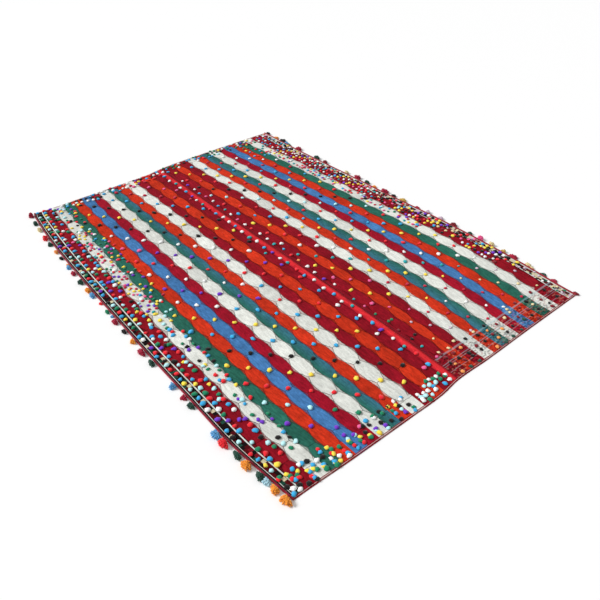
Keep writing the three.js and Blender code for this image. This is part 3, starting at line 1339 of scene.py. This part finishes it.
@dataclass
class KnotRules:
    """The rules by which a panel's knots are tied.

    The knots at the ovals' waists are tied along diagonals, one yarn to a diagonal, so a knot's yarn follows
    from the half ovals passed less the number of its stripe. The borders and both ends are tied more densely.
    """

    panel: Panel
    diagonals: tuple[Diagonal, ...]
    first_diagonal: int
    oval_rows: tuple[float, float]
    seed: int
    small_from: float = 2000.0
    small: float = 0.72
    waist_stray: float = 2.0
    column_stray: float = 3.0
    odd_yarns: float = 0.3
    half_ovals: range = range(-4, 36)
    knots: list[Knot] = field(default_factory=list)

    def __post_init__(self) -> None:
        """Starts the draws of chance."""
        self.rng = np.random.default_rng(self.seed)

    def tie_waists(self) -> None:
        """Ties a knot at each waist of each chain of ovals."""
        panel = self.panel
        start, end = self.oval_rows
        chains = [i for i, stripe in enumerate(panel.stripes) if stripe.ovals]
        beside_seam = len(chains) - 1 if panel.side is Side.LEFT else 0
        for number, i in enumerate(chains):
            for count in self.half_ovals:
                along = float(panel.lattice.along(float(count)))
                diagonal = (count - number - self.first_diagonal) // 2
                waist = (count - panel.phases[i]) % 2 == 0
                if not (waist and start < along < end and 0 <= diagonal < len(self.diagonals)):
                    continue
                stray = self.rng.normal(0, self.waist_stray, 2)
                yarn = self.diagonals[diagonal].at(number, number == beside_seam)
                size = self.small if along > self.small_from else 1.0
                self.knots.append(Knot(panel.middle(i) + stray[0], along + stray[1], yarn, size))

    def tie_rows(self, rows: Rows) -> None:
        """Ties slanting rows of knots over a border, one yarn to a row, the yarns in a repeating order.

        Args:
            rows: the rows' columns, spacing and yarns.
        """
        reach = rows.phase + rows.slope * (np.array(rows.columns) - rows.base)
        first = floor((rows.start - reach.max()) / rows.pitch)
        last = ceil((rows.end - reach.min()) / rows.pitch)
        for row in range(first, last + 1):
            for column, shift in zip(rows.columns, reach):
                stray = self.rng.normal(0, rows.stray, 2)
                along = row * rows.pitch + shift + stray[1]
                number = int(self.rng.integers(len(rows.yarns))) if self.rng.random() < rows.swaps else row
                skip = self.rng.random() > rows.keep
                if not skip and rows.start < along < rows.end:
                    yarn = rows.yarns[number % len(rows.yarns)]
                    self.knots.append(Knot(column + stray[0], along, yarn, rows.size))

    def tie_column(self, column: Column) -> None:
        """Ties a line of knots down the rug, their yarns in a repeating order from the far end.

        Args:
            column: the line's place, spacing and yarns.
        """
        for k in range(int((column.end - column.start) / column.pitch) + 1):
            stray = self.rng.normal(0, self.column_stray, 2)
            along = column.start + k * column.pitch + stray[1]
            yarn = column.yarns[k % len(column.yarns)]
            self.knots.append(Knot(column.rest + stray[0], along, yarn, column.size))

    def draw(self, palette: Palette) -> Yarn:
        """Draws one yarn by weight."""
        weights = np.array([weight for _, weight in palette])
        return palette[self.rng.choice(len(palette), p=weights / weights.sum())][0]

    def scatter(self, strip: Scatter) -> None:
        """Ties a strip of knots, most of a row's of one yarn.

        Args:
            strip: the strip's columns, rows and yarns.
        """
        first = floor((strip.start - strip.slope * max(strip.columns)) / strip.pitch) - 1
        last = ceil((strip.end - strip.slope * min(strip.columns)) / strip.pitch) + 1
        for row in range(first, last + 1):
            run = self.draw(strip.palette)
            for column in strip.columns:
                stray = self.rng.normal(0, strip.stray, 2)
                along = row * strip.pitch + strip.slope * column + stray[1]
                skip = self.rng.random() > strip.keep
                yarn = self.draw(strip.palette) if self.rng.random() < self.odd_yarns else run
                if not skip and strip.start < along < strip.end:
                    self.knots.append(Knot(column + stray[0], along, yarn, strip.size))


@dataclass(frozen=True)
class Pompom:
    """One pompom: its place along, its size, how tall it stands as a share of its full height, its yarn."""

    along: float
    size: float
    tall: float
    yarn: Yarn


def pompoms(*rows: tuple[float, float, float, str]) -> tuple[Pompom, ...]:
    """Pompoms from rows whose last value is the yarn's name."""
    return tuple(Pompom(*numbers, *yarns(word)) for *numbers, word in rows)


@dataclass
class Edging:
    """The overcast edging of one side with its row of pompoms, in millimetres."""

    plan: Plan
    side: Side
    pompoms: tuple[Pompom, ...]
    out: float
    cord_dye: Dye
    radius: float = 13.3
    cord_height: float = 4.4
    cord_sides: int = 10
    cord_step: float = 2.0
    wrap_pitch: float = 7.0
    wrap_depth: float = 0.35
    locks: int = 96
    lock_stations: tuple[float, ...] = (0.3, 0.75, 1.0)
    lock_widths: tuple[float, ...] = (0.8, 2.3, 1.6)
    # Painted light: each lock is darkened towards its root as painted shade inside the pompom, and lightened
    # towards its tip as painted highlight
    lock_shade_to_highlight: tuple[float, ...] = (0.5, 1.0, 1.15)
    tip_highlight: float = 1.25
    lock_lengths: tuple[float, float] = (0.84, 1.14)
    lock_uneven_tones: tuple[float, float] = (0.8, 1.2)
    lock_sag: float = 0.12
    rise: float = 0.58
    clear: float = 0.15
    core_share: float = 0.8
    core_sides: int = 8
    # The core inside the pompom is darkened as painted shade
    core_shade: float = 0.78
    longer: float = 1.2
    inner_share: float = 0.5
    lobes: float = 0.14
    inner_tone: float = 1.0
    seed: int = 5

    def build(self) -> bpy.types.Object:
        """Makes the edging and its pompoms as one mesh of triangles.

        Returns:
            The dressed piece.
        """
        rng = np.random.default_rng(self.seed + self.side.value)
        points, faces, colours = zip(self.cord(), *(self.tuft(pompom, rng) for pompom in self.pompoms))
        firsts = np.cumsum([0, *(len(part) for part in points[:-1])])
        name = f"edging_wool_{self.side.word}"
        joined = np.concatenate([part + first for part, first in zip(faces, firsts)])
        piece = mesh_piece(name, np.concatenate(points), joined)
        put_colours(piece, "dye", np.concatenate(colours).clip(0, 1), "POINT")
        piece.data.materials.append(YarnFinish(name).material())
        return piece

    def cord(self) -> tuple[np.ndarray, np.ndarray, np.ndarray]:
        """The edging: a flattened round section carried down the rug's side.

        The section is an ellipse that rests on the floor. Yarn is wrapped round it, so its size rises and
        falls with the way along plus the turn round it, as a sine. On the cloth's side the yarn has its inner
        tone.

        Returns:
            Points, triangles and colours.
        """
        steps = int(self.plan.length / self.cord_step)
        along = np.linspace(0, self.plan.length, steps + 1)[:, None]
        turn = turns(self.cord_sides)
        wrap = FULL_TURN * along / self.wrap_pitch + turn
        middle = self.cord_height / 2
        swell = 1 + self.wrap_depth * np.sin(wrap) / middle
        half = self.plan.edging_width / 2
        centre = self.plan.line(self.side.word, along) - self.side.value * half
        across = centre + (half + 0.1) * swell * np.cos(turn)
        height = middle * (1 + np.sin(turn) * swell)
        body = self.plan.to_space(across, along, np.maximum(height, 0.0)).reshape(-1, 3)
        ends = self.plan.to_space(centre[[0, -1], 0], along[[0, -1], 0], middle)
        faces = tube_faces(steps + 1, self.cord_sides, len(body), len(body) + 1)
        inward = np.clip(-2.5 * self.side.value * np.cos(turn), 0, 1)
        # Painted shade and highlight: the same sine darkens the yarn where the wraps sink in and lightens it
        # where they swell out
        wrapped = (0.86 + 0.22 * np.sin(wrap)) * (1 - (1 - self.inner_tone) * inward)
        tone = np.concatenate([wrapped.ravel(), [0.8, 0.8]])
        return np.concatenate([body, ends]), faces, self.cord_dye.linear * tone[:, None]

    def tuft(self, pompom: Pompom, rng: np.random.Generator) -> tuple[np.ndarray, np.ndarray, np.ndarray]:
        """One pompom's wool: a small core, and locks of cut yarn that go out from it all round.

        The locks' ways out are spread evenly over a ball by the golden angle, from a little below level to
        straight up. Each lock is a three-sided spike that swells before its cut tip and sinks with the square
        of its length. The locks are longer in three directions, drawn out along the edging, and pressed short
        towards the cloth.

        Args:
            pompom: the pompom's place, size and yarn.
            rng: the draws of chance.

        Returns:
            Points, triangles and colours.
        """
        side = self.side.value
        radius = self.radius * pompom.size
        across = self.plan.line(self.side.word, pompom.along) + side * self.out * radius
        centre = self.plan.to_space(across, pompom.along, 0.0) / MM
        number = np.arange(self.locks)
        up = 0.98 - 1.45 * (number + 0.5) / self.locks + rng.normal(0, 0.04, self.locks)
        up = np.clip(up, -0.5, 0.98)
        angle = number * np.pi * (3 - np.sqrt(5)) + rng.normal(0, 0.18, self.locks)
        level = np.sqrt(1 - up**2)
        way = np.stack([level * np.cos(angle), level * np.sin(angle), up], axis=1)
        side_way = np.stack([-np.sin(angle), np.cos(angle), np.zeros(self.locks)], axis=1)
        third = np.cross(way, side_way)
        lobe = np.sin(3 * angle + rng.uniform(0, FULL_TURN)) * level
        reach = radius * (rng.uniform(*self.lock_lengths, self.locks) + self.lobes * lobe)
        stations = np.array(self.lock_stations)
        corner = rng.uniform(0, FULL_TURN, self.locks)[:, None] + turns(3)
        ring = np.cos(corner)[..., None] * side_way[:, None] + np.sin(corner)[..., None] * third[:, None]
        wide, long = rng.uniform(0.85, 1.05), self.longer * rng.uniform(0.85, 1.1)
        stretch = np.array([wide, long, 0.95 * pompom.tall])
        spine = way[:, None] * reach[:, None, None] * stations[:, None] * stretch
        self.press(spine)
        spine[..., 2] -= self.lock_sag * radius * stations**2
        body = spine[:, :, None] + ring[:, None] * np.array(self.lock_widths)[:, None, None]
        tip = spine[:, -1] + way * 0.5
        spikes = np.concatenate([body.reshape(self.locks, 9, 3), tip[:, None]], axis=1)
        rise = self.rise * radius * pompom.tall
        spikes[..., 2] = np.maximum(spikes[..., 2] + rise, self.clear)
        core, core_faces = self.core(radius * self.core_share * stretch, rise)
        spike = np.concatenate([halved(band_faces(3, 3)), fan_faces(6, 3, 9), [[2, 1, 0]]])
        faces = np.concatenate([copies(spike, 10, self.locks), core_faces + 10 * self.locks])
        # Painted shade at the locks' roots and on the core, and painted highlight at their tips, with each
        # lock times a random tone of its own
        tones = np.append(np.repeat(self.lock_shade_to_highlight, 3), self.tip_highlight)
        tones = (tones * rng.uniform(*self.lock_uneven_tones, (self.locks, 1))).ravel()
        tones = np.append(tones, np.full(len(core), self.core_shade))
        points = np.concatenate([spikes.reshape(-1, 3), core]) + centre
        return points * MM, faces, tones[:, None] * pompom.yarn.linear

    def press(self, points: np.ndarray) -> None:
        """Presses a pompom short towards the cloth."""
        points[..., 0] *= np.where(points[..., 0] * self.side.value < 0, self.inner_share, 1.0)

    def core(self, radii: np.ndarray, rise: float) -> tuple[np.ndarray, np.ndarray]:
        """A small ball in the middle of a pompom, drawn out by its radii and flat where it meets the floor.

        Args:
            radii: its three half sizes, across, along and up.
            rise: its middle's height.

        Returns:
            Points and triangles.
        """
        up = np.array([-0.6, 0.0, 0.6])[:, None]
        turn = turns(self.core_sides)
        level = np.sqrt(1 - up**2)
        rings = np.stack(np.broadcast_arrays(level * np.cos(turn), level * np.sin(turn), up), axis=-1)
        points = np.concatenate([rings.reshape(-1, 3), [[0, 0, -1], [0, 0, 1]]]) * radii
        points[:, 2] = np.maximum(points[:, 2] + rise, 0.1)
        self.press(points)
        tips = 3 * self.core_sides
        return points, tube_faces(3, self.core_sides, tips, tips + 1)


@dataclass(frozen=True)
class Seam:
    """The hand stitches that join the two panels: short arched threads across the seam, one after another."""

    plan: Plan
    pitch: float = 9.0
    from_ends: tuple[float, float] = (14.0, 10.0)
    half_span: float = 4.5
    slant: float = 2.6
    thread: float = 0.7
    rise: float = 1.1
    seed: int = 3

    def build(self) -> bpy.types.Object:
        """Makes the stitches.

        Each is a four-sided thread through five points on the way from one panel over the seam to the other.
        It follows the cloth's height, with a low arch over the seam, and its ends go down into the cloth.

        Returns:
            The joined stitches.
        """
        first, last = self.from_ends
        along = np.arange(first, self.plan.length - last, self.pitch)[:, None]
        share = np.linspace(-1, 1, 5)
        off = self.half_span * share
        place = along + self.slant * share
        height = self.plan.lift(off, place) + self.plan.thickness
        height = height + self.rise * (1 - share**2) - 1.0 * (np.abs(share) > 0.9)
        spine = self.plan.to_space(self.plan.line("seam", along) + off, place, height)
        turn = turns(4) + np.pi / 4
        ring = np.stack([np.zeros(4), np.cos(turn), np.sin(turn)], axis=1) * self.thread * MM
        points = (spine[:, :, None] + ring).reshape(-1, 3)
        stitch = np.concatenate([band_faces(5, 4), [[3, 2, 1, 0], [16, 17, 18, 19]]])
        piece = mesh_piece("seam_stitches", points, copies(stitch, 20, len(along)))
        tone = np.random.default_rng(self.seed).uniform(0.7, 1.0, len(along))
        put_colours(piece, "dye", np.repeat(tone[:, None] * Dye.CRIMSON.linear, 20, axis=0), "POINT")
        return piece


@dataclass(frozen=True)
class Studio:
    """The camera, the light and the plain floor, placed in the rug's plan, in millimetres."""

    plan: Plan
    eye: tuple[float, float, float] = (-512.0, 2697.5, 1401.7)
    aim: tuple[float, float, float] = (549.1, 1385.4, 0.0)
    roll: float = -0.755
    lens: float = 34.516
    lens_shift: tuple[float, float] = (-0.009, 0.0113)
    sensor: float = 36.0
    floor_half: float = 9.0
    floor_look: tuple[float, float] = (0.93, 0.9)
    key_place: tuple[float, float, float] = (-1500.0, -1300.0, 2600.0)
    key_aim: tuple[float, float, float] = (700.0, 1000.0, 0.0)
    key_power: float = 2.9
    key_spread: float = 22.0
    sky: float = 0.5

    def point(self, across: float, along: float, height: float) -> Vector:
        """A place of the straight plan in space."""
        x, y = self.plan.shift
        return Vector((across + x, y - along, height)) * MM

    def camera(self) -> None:
        """Sets the camera where the photograph's was."""
        data = bpy.data.cameras.new("view")
        data.lens = self.lens
        data.shift_x, data.shift_y = self.lens_shift
        data.sensor_width = self.sensor
        camera = bpy.data.objects.new("view", data)
        eye = self.point(*self.eye)
        turn = (self.point(*self.aim) - eye).to_track_quat("-Z", "Y").to_matrix().to_4x4()
        camera.matrix_world = Matrix.Translation(eye) @ turn @ Matrix.Rotation(np.radians(self.roll), 4, "Z")
        bpy.context.scene.collection.objects.link(camera)
        bpy.context.scene.camera = camera

    def sun(self) -> None:
        """Adds the broad light that comes from past the rug's far left corner."""
        data = bpy.data.lights.new("key", "SUN")
        data.energy = self.key_power
        data.angle = np.radians(self.key_spread)
        sun = bpy.data.objects.new("key", data)
        way = self.point(*self.key_aim) - self.point(*self.key_place)
        sun.rotation_euler = way.to_track_quat("-Z", "Y").to_euler()
        bpy.context.scene.collection.objects.link(sun)

    def floor(self) -> bpy.types.Object:
        """Lays the pale floor.

        Returns:
            The floor.
        """
        half = self.floor_half
        points = np.array([(-half, -half, 0), (half, -half, 0), (half, half, 0), (-half, half, 0)])
        floor = mesh_piece("floor", points, np.array([[0, 1, 2, 3]]))
        sketch = NodeSketch("pale_floor")
        grey, roughness = self.floor_look
        sketch.feed(sketch.shader, {"Base Color": (grey, grey, grey, 1), "Roughness": roughness})
        floor.data.materials.append(sketch.material)
        return floor

    def build(self) -> bpy.types.Object:
        """Sets up the whole studio.

        Returns:
            Its floor.
        """
        self.camera()
        self.sun()
        world = bpy.data.worlds.new("studio")
        world.use_nodes = True
        light = world.node_tree.nodes["Background"].inputs
        light[0].default_value = (1, 1, 1, 1)
        light[1].default_value = self.sky
        bpy.context.scene.world = world
        bpy.context.scene.view_settings.view_transform = "Standard"
        return self.floor()


def left_panel(plan: Plan) -> Panel:
    """The left panel, from its edging to the seam's bright ridge.

    Args:
        plan: the rug's plan.

    Returns:
        The panel.
    """
    stripes = (
        Stripe(3.0, Dye.SOOT),
        Stripe(1.9, Dye.UNDYED, steps=2),
        Stripe(25.1, Dye.SOOT, Weave.CHEQUER, 6),
        Stripe(1.4, Dye.SOOT),
        Stripe(4.4, Dye.UNDYED, steps=2),
        Stripe(2.3, Dye.SOOT),
        *chain(
            (54, Dye.WINE), (51, Dye.UNDYED), (50, Dye.GREEN), (50, Dye.ORANGE_RED), (50, Dye.BLUE),
            (48, Dye.CRIMSON), (55, Dye.UNDYED), (47, Dye.GREEN, Dye.SEA), (50, Dye.ORANGE_RED),
            (57, Dye.UNDYED), (47, Dye.WINE), (53, Dye.ORANGE_RED), (45, Dye.WINE),
        ),
        # The ridge's own reds carry painted light: the bright scarlet on the fold's crest is partly painted
        # highlight, and the darker crimson and wine on its flanks are partly painted shade
        Stripe(10, Dye.CRIMSON, steps=4, far_dye=Dye.SCARLET),
        Stripe(14, Dye.SCARLET, steps=5),
        Stripe(11, Dye.SCARLET, steps=5, far_dye=Dye.WINE),
    )
    lattice = Lattice((
        (-43, -2), (81, 0), (204, 2), (449, 6), (702, 10), (945, 14), (1175, 18), (1407, 22), (1622, 26),
        (1838, 30), (2050, 34),
    ))
    lines = ("left", "wine", "crimson", "orange", "seam")
    return Panel(plan, Side.LEFT, stripes, lines, lattice, 1935.0, ClothFinish("woven_wool_left"))


def right_panel(plan: Plan) -> Panel:
    """The right panel, from the dark valley beside the seam to its edging.

    Args:
        plan: the rug's plan.

    Returns:
        The panel.
    """
    stripes = (
        # Painted shade: the stripe beside the seam is darkened to maroon towards the seam for the shade in
        # the fold's valley, and fades to wine
        Stripe(15, Yarn.MAROON, steps=3, far_dye=Dye.WINE),
        *chain(
            (50, Dye.WINE), (50, Dye.ORANGE_RED), (52, Dye.WINE), (55, Dye.UNDYED), (48, Dye.ORANGE_RED),
            (53, Dye.SEA, Dye.GREEN), (57, Dye.UNDYED), (45, Dye.CRIMSON), (47, Dye.BLUE),
            (50, Dye.ORANGE_RED), (48, Dye.GREEN), (52, Dye.UNDYED), (55, Dye.WINE),
        ),
        Stripe(1.7, Dye.SOOT),
        Stripe(3.5, Dye.UNDYED, steps=2),
        Stripe(21, Dye.SOOT, Weave.CHEQUER, 5),
        Stripe(5.5, Dye.UNDYED, steps=2),
    )
    lattice = Lattice((
        (-55, -4), (50, -2), (157, 0), (368, 4), (603, 8), (831, 12), (1050, 16), (1270, 20), (1487, 24),
        (1710, 28), (1930, 32), (2040, 34),
    ))
    chequer = tuple(zip(
        (0.0, 0.24, 0.36, 0.62, 0.86), (Dye.SOOT, Yarn.PINE, Dye.DARK_WINE, Dye.CREAM, Yarn.LILAC)
    ))
    near_lines = ((1891, 1898), (1927, 1930), (1936, 1938), (1963, 1965))
    finish = ClothFinish("woven_wool_right", chequer=chequer, weft_lines=near_lines, plain_from=1888.0)
    lines = ("seam", "garnet", "ruby", "border", "right")
    return Panel(plan, Side.RIGHT, stripes, lines, lattice, 1880.0, finish)


def left_knots(panel: Panel) -> list[Knot]:
    """The left panel's knots: waists, the dense outer border, both ends and the ridge beside the seam.

    Args:
        panel: the left panel.

    Returns:
        The knots.
    """
    diagonals = (
        *(Diagonal(yarn) for yarn in yarns("pink crimson blue black yellow black")),
        Diagonal(Yarn.WHITE, seam=Yarn.TEAL),
        Diagonal(Yarn.PINK, Yarn.PURPLE, 5),
        Diagonal(Yarn.RED),
        Diagonal(Yarn.WHITE, Yarn.BLUE, 9),
        Diagonal(Yarn.PURPLE, Yarn.RED, 9, seam=Yarn.WHITE),
        Diagonal(Yarn.WHITE, Yarn.BLUE, 6),
        Diagonal(Yarn.YELLOW, seam=Yarn.WHITE),
        Diagonal(Yarn.BLUE),
        Diagonal(Yarn.BLACK, seam=Yarn.PINK),
        Diagonal(Yarn.YELLOW),
        Diagonal(Yarn.RED),
        Diagonal(Yarn.ICE, Yarn.GREEN, 5),
        Diagonal(Yarn.PURPLE),
    )
    rules = KnotRules(panel, diagonals, -9, (75.0, 1900.0), 21)
    rules.tie_waists()
    border = partial(Rows, pitch=28.0, yarns=BORDER_YARNS, slope=0.84, base=-15.0, phase=13.0)
    small = partial(Rows, pitch=21.0, yarns=SMALL_YARNS, stray=4.0, swaps=0.3, size=0.76, base=-15.0)
    for rows in (
        border((-15.0, 14.0, 48.0), 8, 1912, keep=0.92, swaps=0.06),
        border((84.0, 114.0), 1080, 1900, stray=4.0, keep=0.68, size=0.85),
        border((80.0, 108.0, 138.0), 30, 350, stray=5.0, keep=0.6, size=0.85),
        small((70.0, 88.0, 106.0, 126.0), 330, 1090, keep=0.68),
        small((146.0, 162.0), 430, 1090, keep=0.36),
    ):
        rules.tie_rows(rows)
    rules.scatter(Scatter(tuple(range(60, 690, 25)), 6, 70))
    corner = partial(Rows, pitch=12.5, yarns=CORNER_YARNS, slope=0.47, stray=4.2, base=75.0, phase=28.0)
    near = partial(Rows, pitch=11.7, yarns=NEAR_YARNS, slope=0.37, stray=3.5, base=332.0, phase=9.5)
    by_seam = partial(Rows, pitch=13.0, yarns=SEAM_END_YARNS, slope=0.37, stray=4.0, base=533.0, phase=2.0)
    for rows in (
        corner((-15.0, 12.0, 37.0, 62.0, 87.0, 113.0, 138.0), 1916, 1990, keep=0.88, size=0.95),
        near(tuple(range(164, 500, 32)), 1925, 1989, keep=0.88, size=0.88),
        by_seam(tuple(range(530, 680, 23)), 1932, 1989, keep=0.86, swaps=0.2, size=0.92),
    ):
        rules.tie_rows(rows)
    rules.tie_column(Column(669.0, 92, 1935, 54.5, RIDGE_YARNS))
    return rules.knots


def right_knots(panel: Panel) -> list[Knot]:
    """The right panel's knots: waists, the valley beside the seam, both ends and the dense outer border.

    Args:
        panel: the right panel.

    Returns:
        The knots.
    """
    plain = yarns("white crimson blue yellow red black ice red blue yellow red white")
    diagonals = (
        *(Diagonal(yarn) for yarn in plain),
        Diagonal(Yarn.TEAL, Yarn.LILAC, 10),
        Diagonal(Yarn.YELLOW, Yarn.OAT, 8),
        Diagonal(Yarn.PINK, Yarn.CRIMSON, 3),
        Diagonal(Yarn.YELLOW, Yarn.WHITE, 5),
        Diagonal(Yarn.PINK, Yarn.CRIMSON, 3),
        Diagonal(Yarn.GREEN, Yarn.LILAC, 1),
        Diagonal(Yarn.BLACK, Yarn.OAT, 1),
        Diagonal(Yarn.OAT),
    )
    rules = KnotRules(panel, diagonals, -7, (75.0, 1885.0), 22, 1560.0)
    rules.tie_waists()
    rules.tie_column(Column(716.0, 195, 1400, 55.5, VALLEY_YARNS, 0.9))
    rules.tie_column(Column(716.0, 1478, 1885, 58.0, VALLEY_END_YARNS, 0.75))
    rules.scatter(Scatter(tuple(range(712, 1290, 25)), 6, 62))
    border = partial(Rows, pitch=22.0, base=1336.0)
    for rows in (
        border((1336.0, 1358.0, 1377.0, 1397.0), 8, 960, yarns=RIGHT_FAR_YARNS, size=0.76),
        border((1336.0, 1358.0), 960, 1680, yarns=RIGHT_NEAR_YARNS, keep=0.74, size=0.8),
        border((1380.0, 1399.0), 960, 1740, yarns=RIGHT_NEAR_YARNS, keep=0.9, size=0.84),
        border((1384.0, 1400.0), 1740, 1960, yarns=RIGHT_END_YARNS, keep=0.85, size=0.62),
        border((1286.0, 1310.0), 8, 1290, yarns=SMALL_YARNS, keep=0.68, size=0.8),
    ):
        rules.tie_rows(rows)
    rules.scatter(Scatter((1200.0, 1222.0, 1246.0, 1268.0), 60, 240, 27.0, 0.5, 5.0, 0.5, 0.85))
    dark = tuple(zip(yarns("black maroon pine orange"), (0.4, 0.42, 0.12, 0.06)))
    mixed = tuple(zip(yarns("black maroon pine oat orange"), (0.26, 0.3, 0.14, 0.18, 0.12)))
    for i, stripe in enumerate(panel.stripes):
        if stripe.ovals:
            palette = dark if stripe.dye is Dye.UNDYED else mixed
            rules.scatter(Scatter((panel.middle(i),), 1884, 1992, 25.8, 0.0, 3.5, 0.88, 0.8, palette))
    return rules.knots


LEFT_POMPOMS = pompoms(
    (25, 1.15, 1, "garnet"), (115, 1.05, 0.9, "pine"), (185, 1, 0.9, "oat"), (275, 1.05, 1, "red"),
    (335, 0.85, 0.9, "pine"), (410, 0.75, 0.9, "orange"), (470, 0.75, 0.8, "black"),
    (535, 0.55, 0.8, "amber"), (555, 0.85, 0.8, "sky"), (610, 0.95, 0.8, "garnet"), (690, 1, 1, "pine"),
    (760, 0.95, 1, "amber"), (800, 0.95, 0.9, "sky"), (865, 0.5, 0.8, "red"), (930, 0.7, 0.9, "green"),
    (965, 0.5, 0.8, "sky"), (1005, 1, 0.9, "garnet"), (1075, 0.8, 0.9, "black"), (1145, 0.85, 1, "amber"),
    (1215, 1.05, 0.9, "garnet"), (1285, 1, 0.9, "pine"), (1425, 1, 0.9, "sky"), (1490, 0.85, 0.8, "garnet"),
    (1535, 0.9, 0.9, "pine"), (1685, 1.25, 1, "sky"), (1725, 1.35, 0.9, "red"), (1785, 1, 0.9, "pine"),
    (1830, 1.3, 0.9, "amber"), (1885, 1.1, 1, "pine"), (1910, 1, 0.9, "frost"), (1945, 1.15, 0.9, "amber"),
    (1990, 1.25, 0.8, "amber"),
)
RIGHT_POMPOMS = pompoms(
    (20, 1, 0.7, "black"), (90, 1, 0.55, "amber"), (145, 1.35, 0.6, "black"), (180, 0.9, 0.7, "sky"),
    (205, 0.7, 0.7, "green"), (285, 1.4, 0.7, "garnet"), (440, 1.25, 0.8, "pine"), (510, 1, 0.9, "maroon"),
    (675, 0.85, 1, "oat"), (755, 1.4, 0.75, "garnet"), (825, 1.05, 0.9, "pine"), (880, 0.8, 0.7, "amber"),
    (950, 1.35, 0.7, "garnet"), (1010, 0.85, 0.8, "black"), (1070, 1.2, 0.6, "olive"),
    (1160, 0.8, 0.6, "garnet"), (1225, 0.8, 1, "lilac"), (1300, 1, 0.7, "lilac"),
    (1375, 1.05, 0.8, "maroon"), (1470, 0.7, 1, "pine"), (1525, 0.95, 1.1, "pink"), (1585, 0.95, 1, "oat"),
    (1650, 0.75, 1, "olive"), (1700, 1.25, 0.55, "garnet"), (1775, 0.8, 1, "oat"), (1795, 0.55, 0.8, "oat"),
    (1850, 0.85, 0.55, "pine"), (1900, 0.95, 0.5, "garnet"), (1995, 0.7, 0.7, "maroon"),
)


def dress(piece: bpy.types.Object, slot: str, *nodes: str) -> None:
    """Makes a piece ride with the rug, hides the nodes that it replaces and logs its faces.

    Args:
        piece: the piece.
        slot: the record's material slot; it is not used.
        nodes: the nodes that it replaces.
    """
    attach(piece, "root")
    if nodes:
        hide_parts(*nodes)
    log.info("%s: %d faces", piece.name, len(piece.data.polygons))


def main() -> None:
    """Builds the rug piece by piece and sets it in the studio."""
    logging.basicConfig(level=logging.INFO, format="%(name)s: %(message)s")
    plan = Plan()
    plan.fit_to_frame()
    floor = Studio(plan).build()

    panels = (left_panel(plan), right_panel(plan))
    yarn = YarnFinish("knot_wool").material()
    carried: dict[Side, list[bpy.types.Object]] = {Side.LEFT: [], Side.RIGHT: []}
    for panel, tied in zip(panels, (left_knots, right_knots)):
        maker = KnotMaker(31 + panel.side.value)
        knots = maker.build(f"knots_{panel.side.word}", panel, tied(panel))
        knots.data.materials.append(yarn)
        dress(knots, "knot_wool")
        carried[panel.side].append(knots)

    for edging in (
        Edging(plan, Side.LEFT, LEFT_POMPOMS, 0.72, Dye.EDGE_RED, inner_tone=0.25),
        Edging(plan, Side.RIGHT, RIGHT_POMPOMS, 0.15, Dye.CRIMSON, cord_height=6.0),
    ):
        piece = edging.build()
        dress(piece, "edging_wool", f"edging_{edging.side.word}")
        carried[edging.side].append(piece)

    stitches = Seam(plan).build()
    stitches.data.materials.append(yarn)
    dress(stitches, "knot_wool")
    carried[Side.LEFT].append(stitches)

    for panel, cut_width in zip(panels, (0.72, 0.71)):
        cloth = panel.build()
        dress(cloth, "woven_wool", panel.name)
        floor.name


if __name__ == "__main__":
    main()
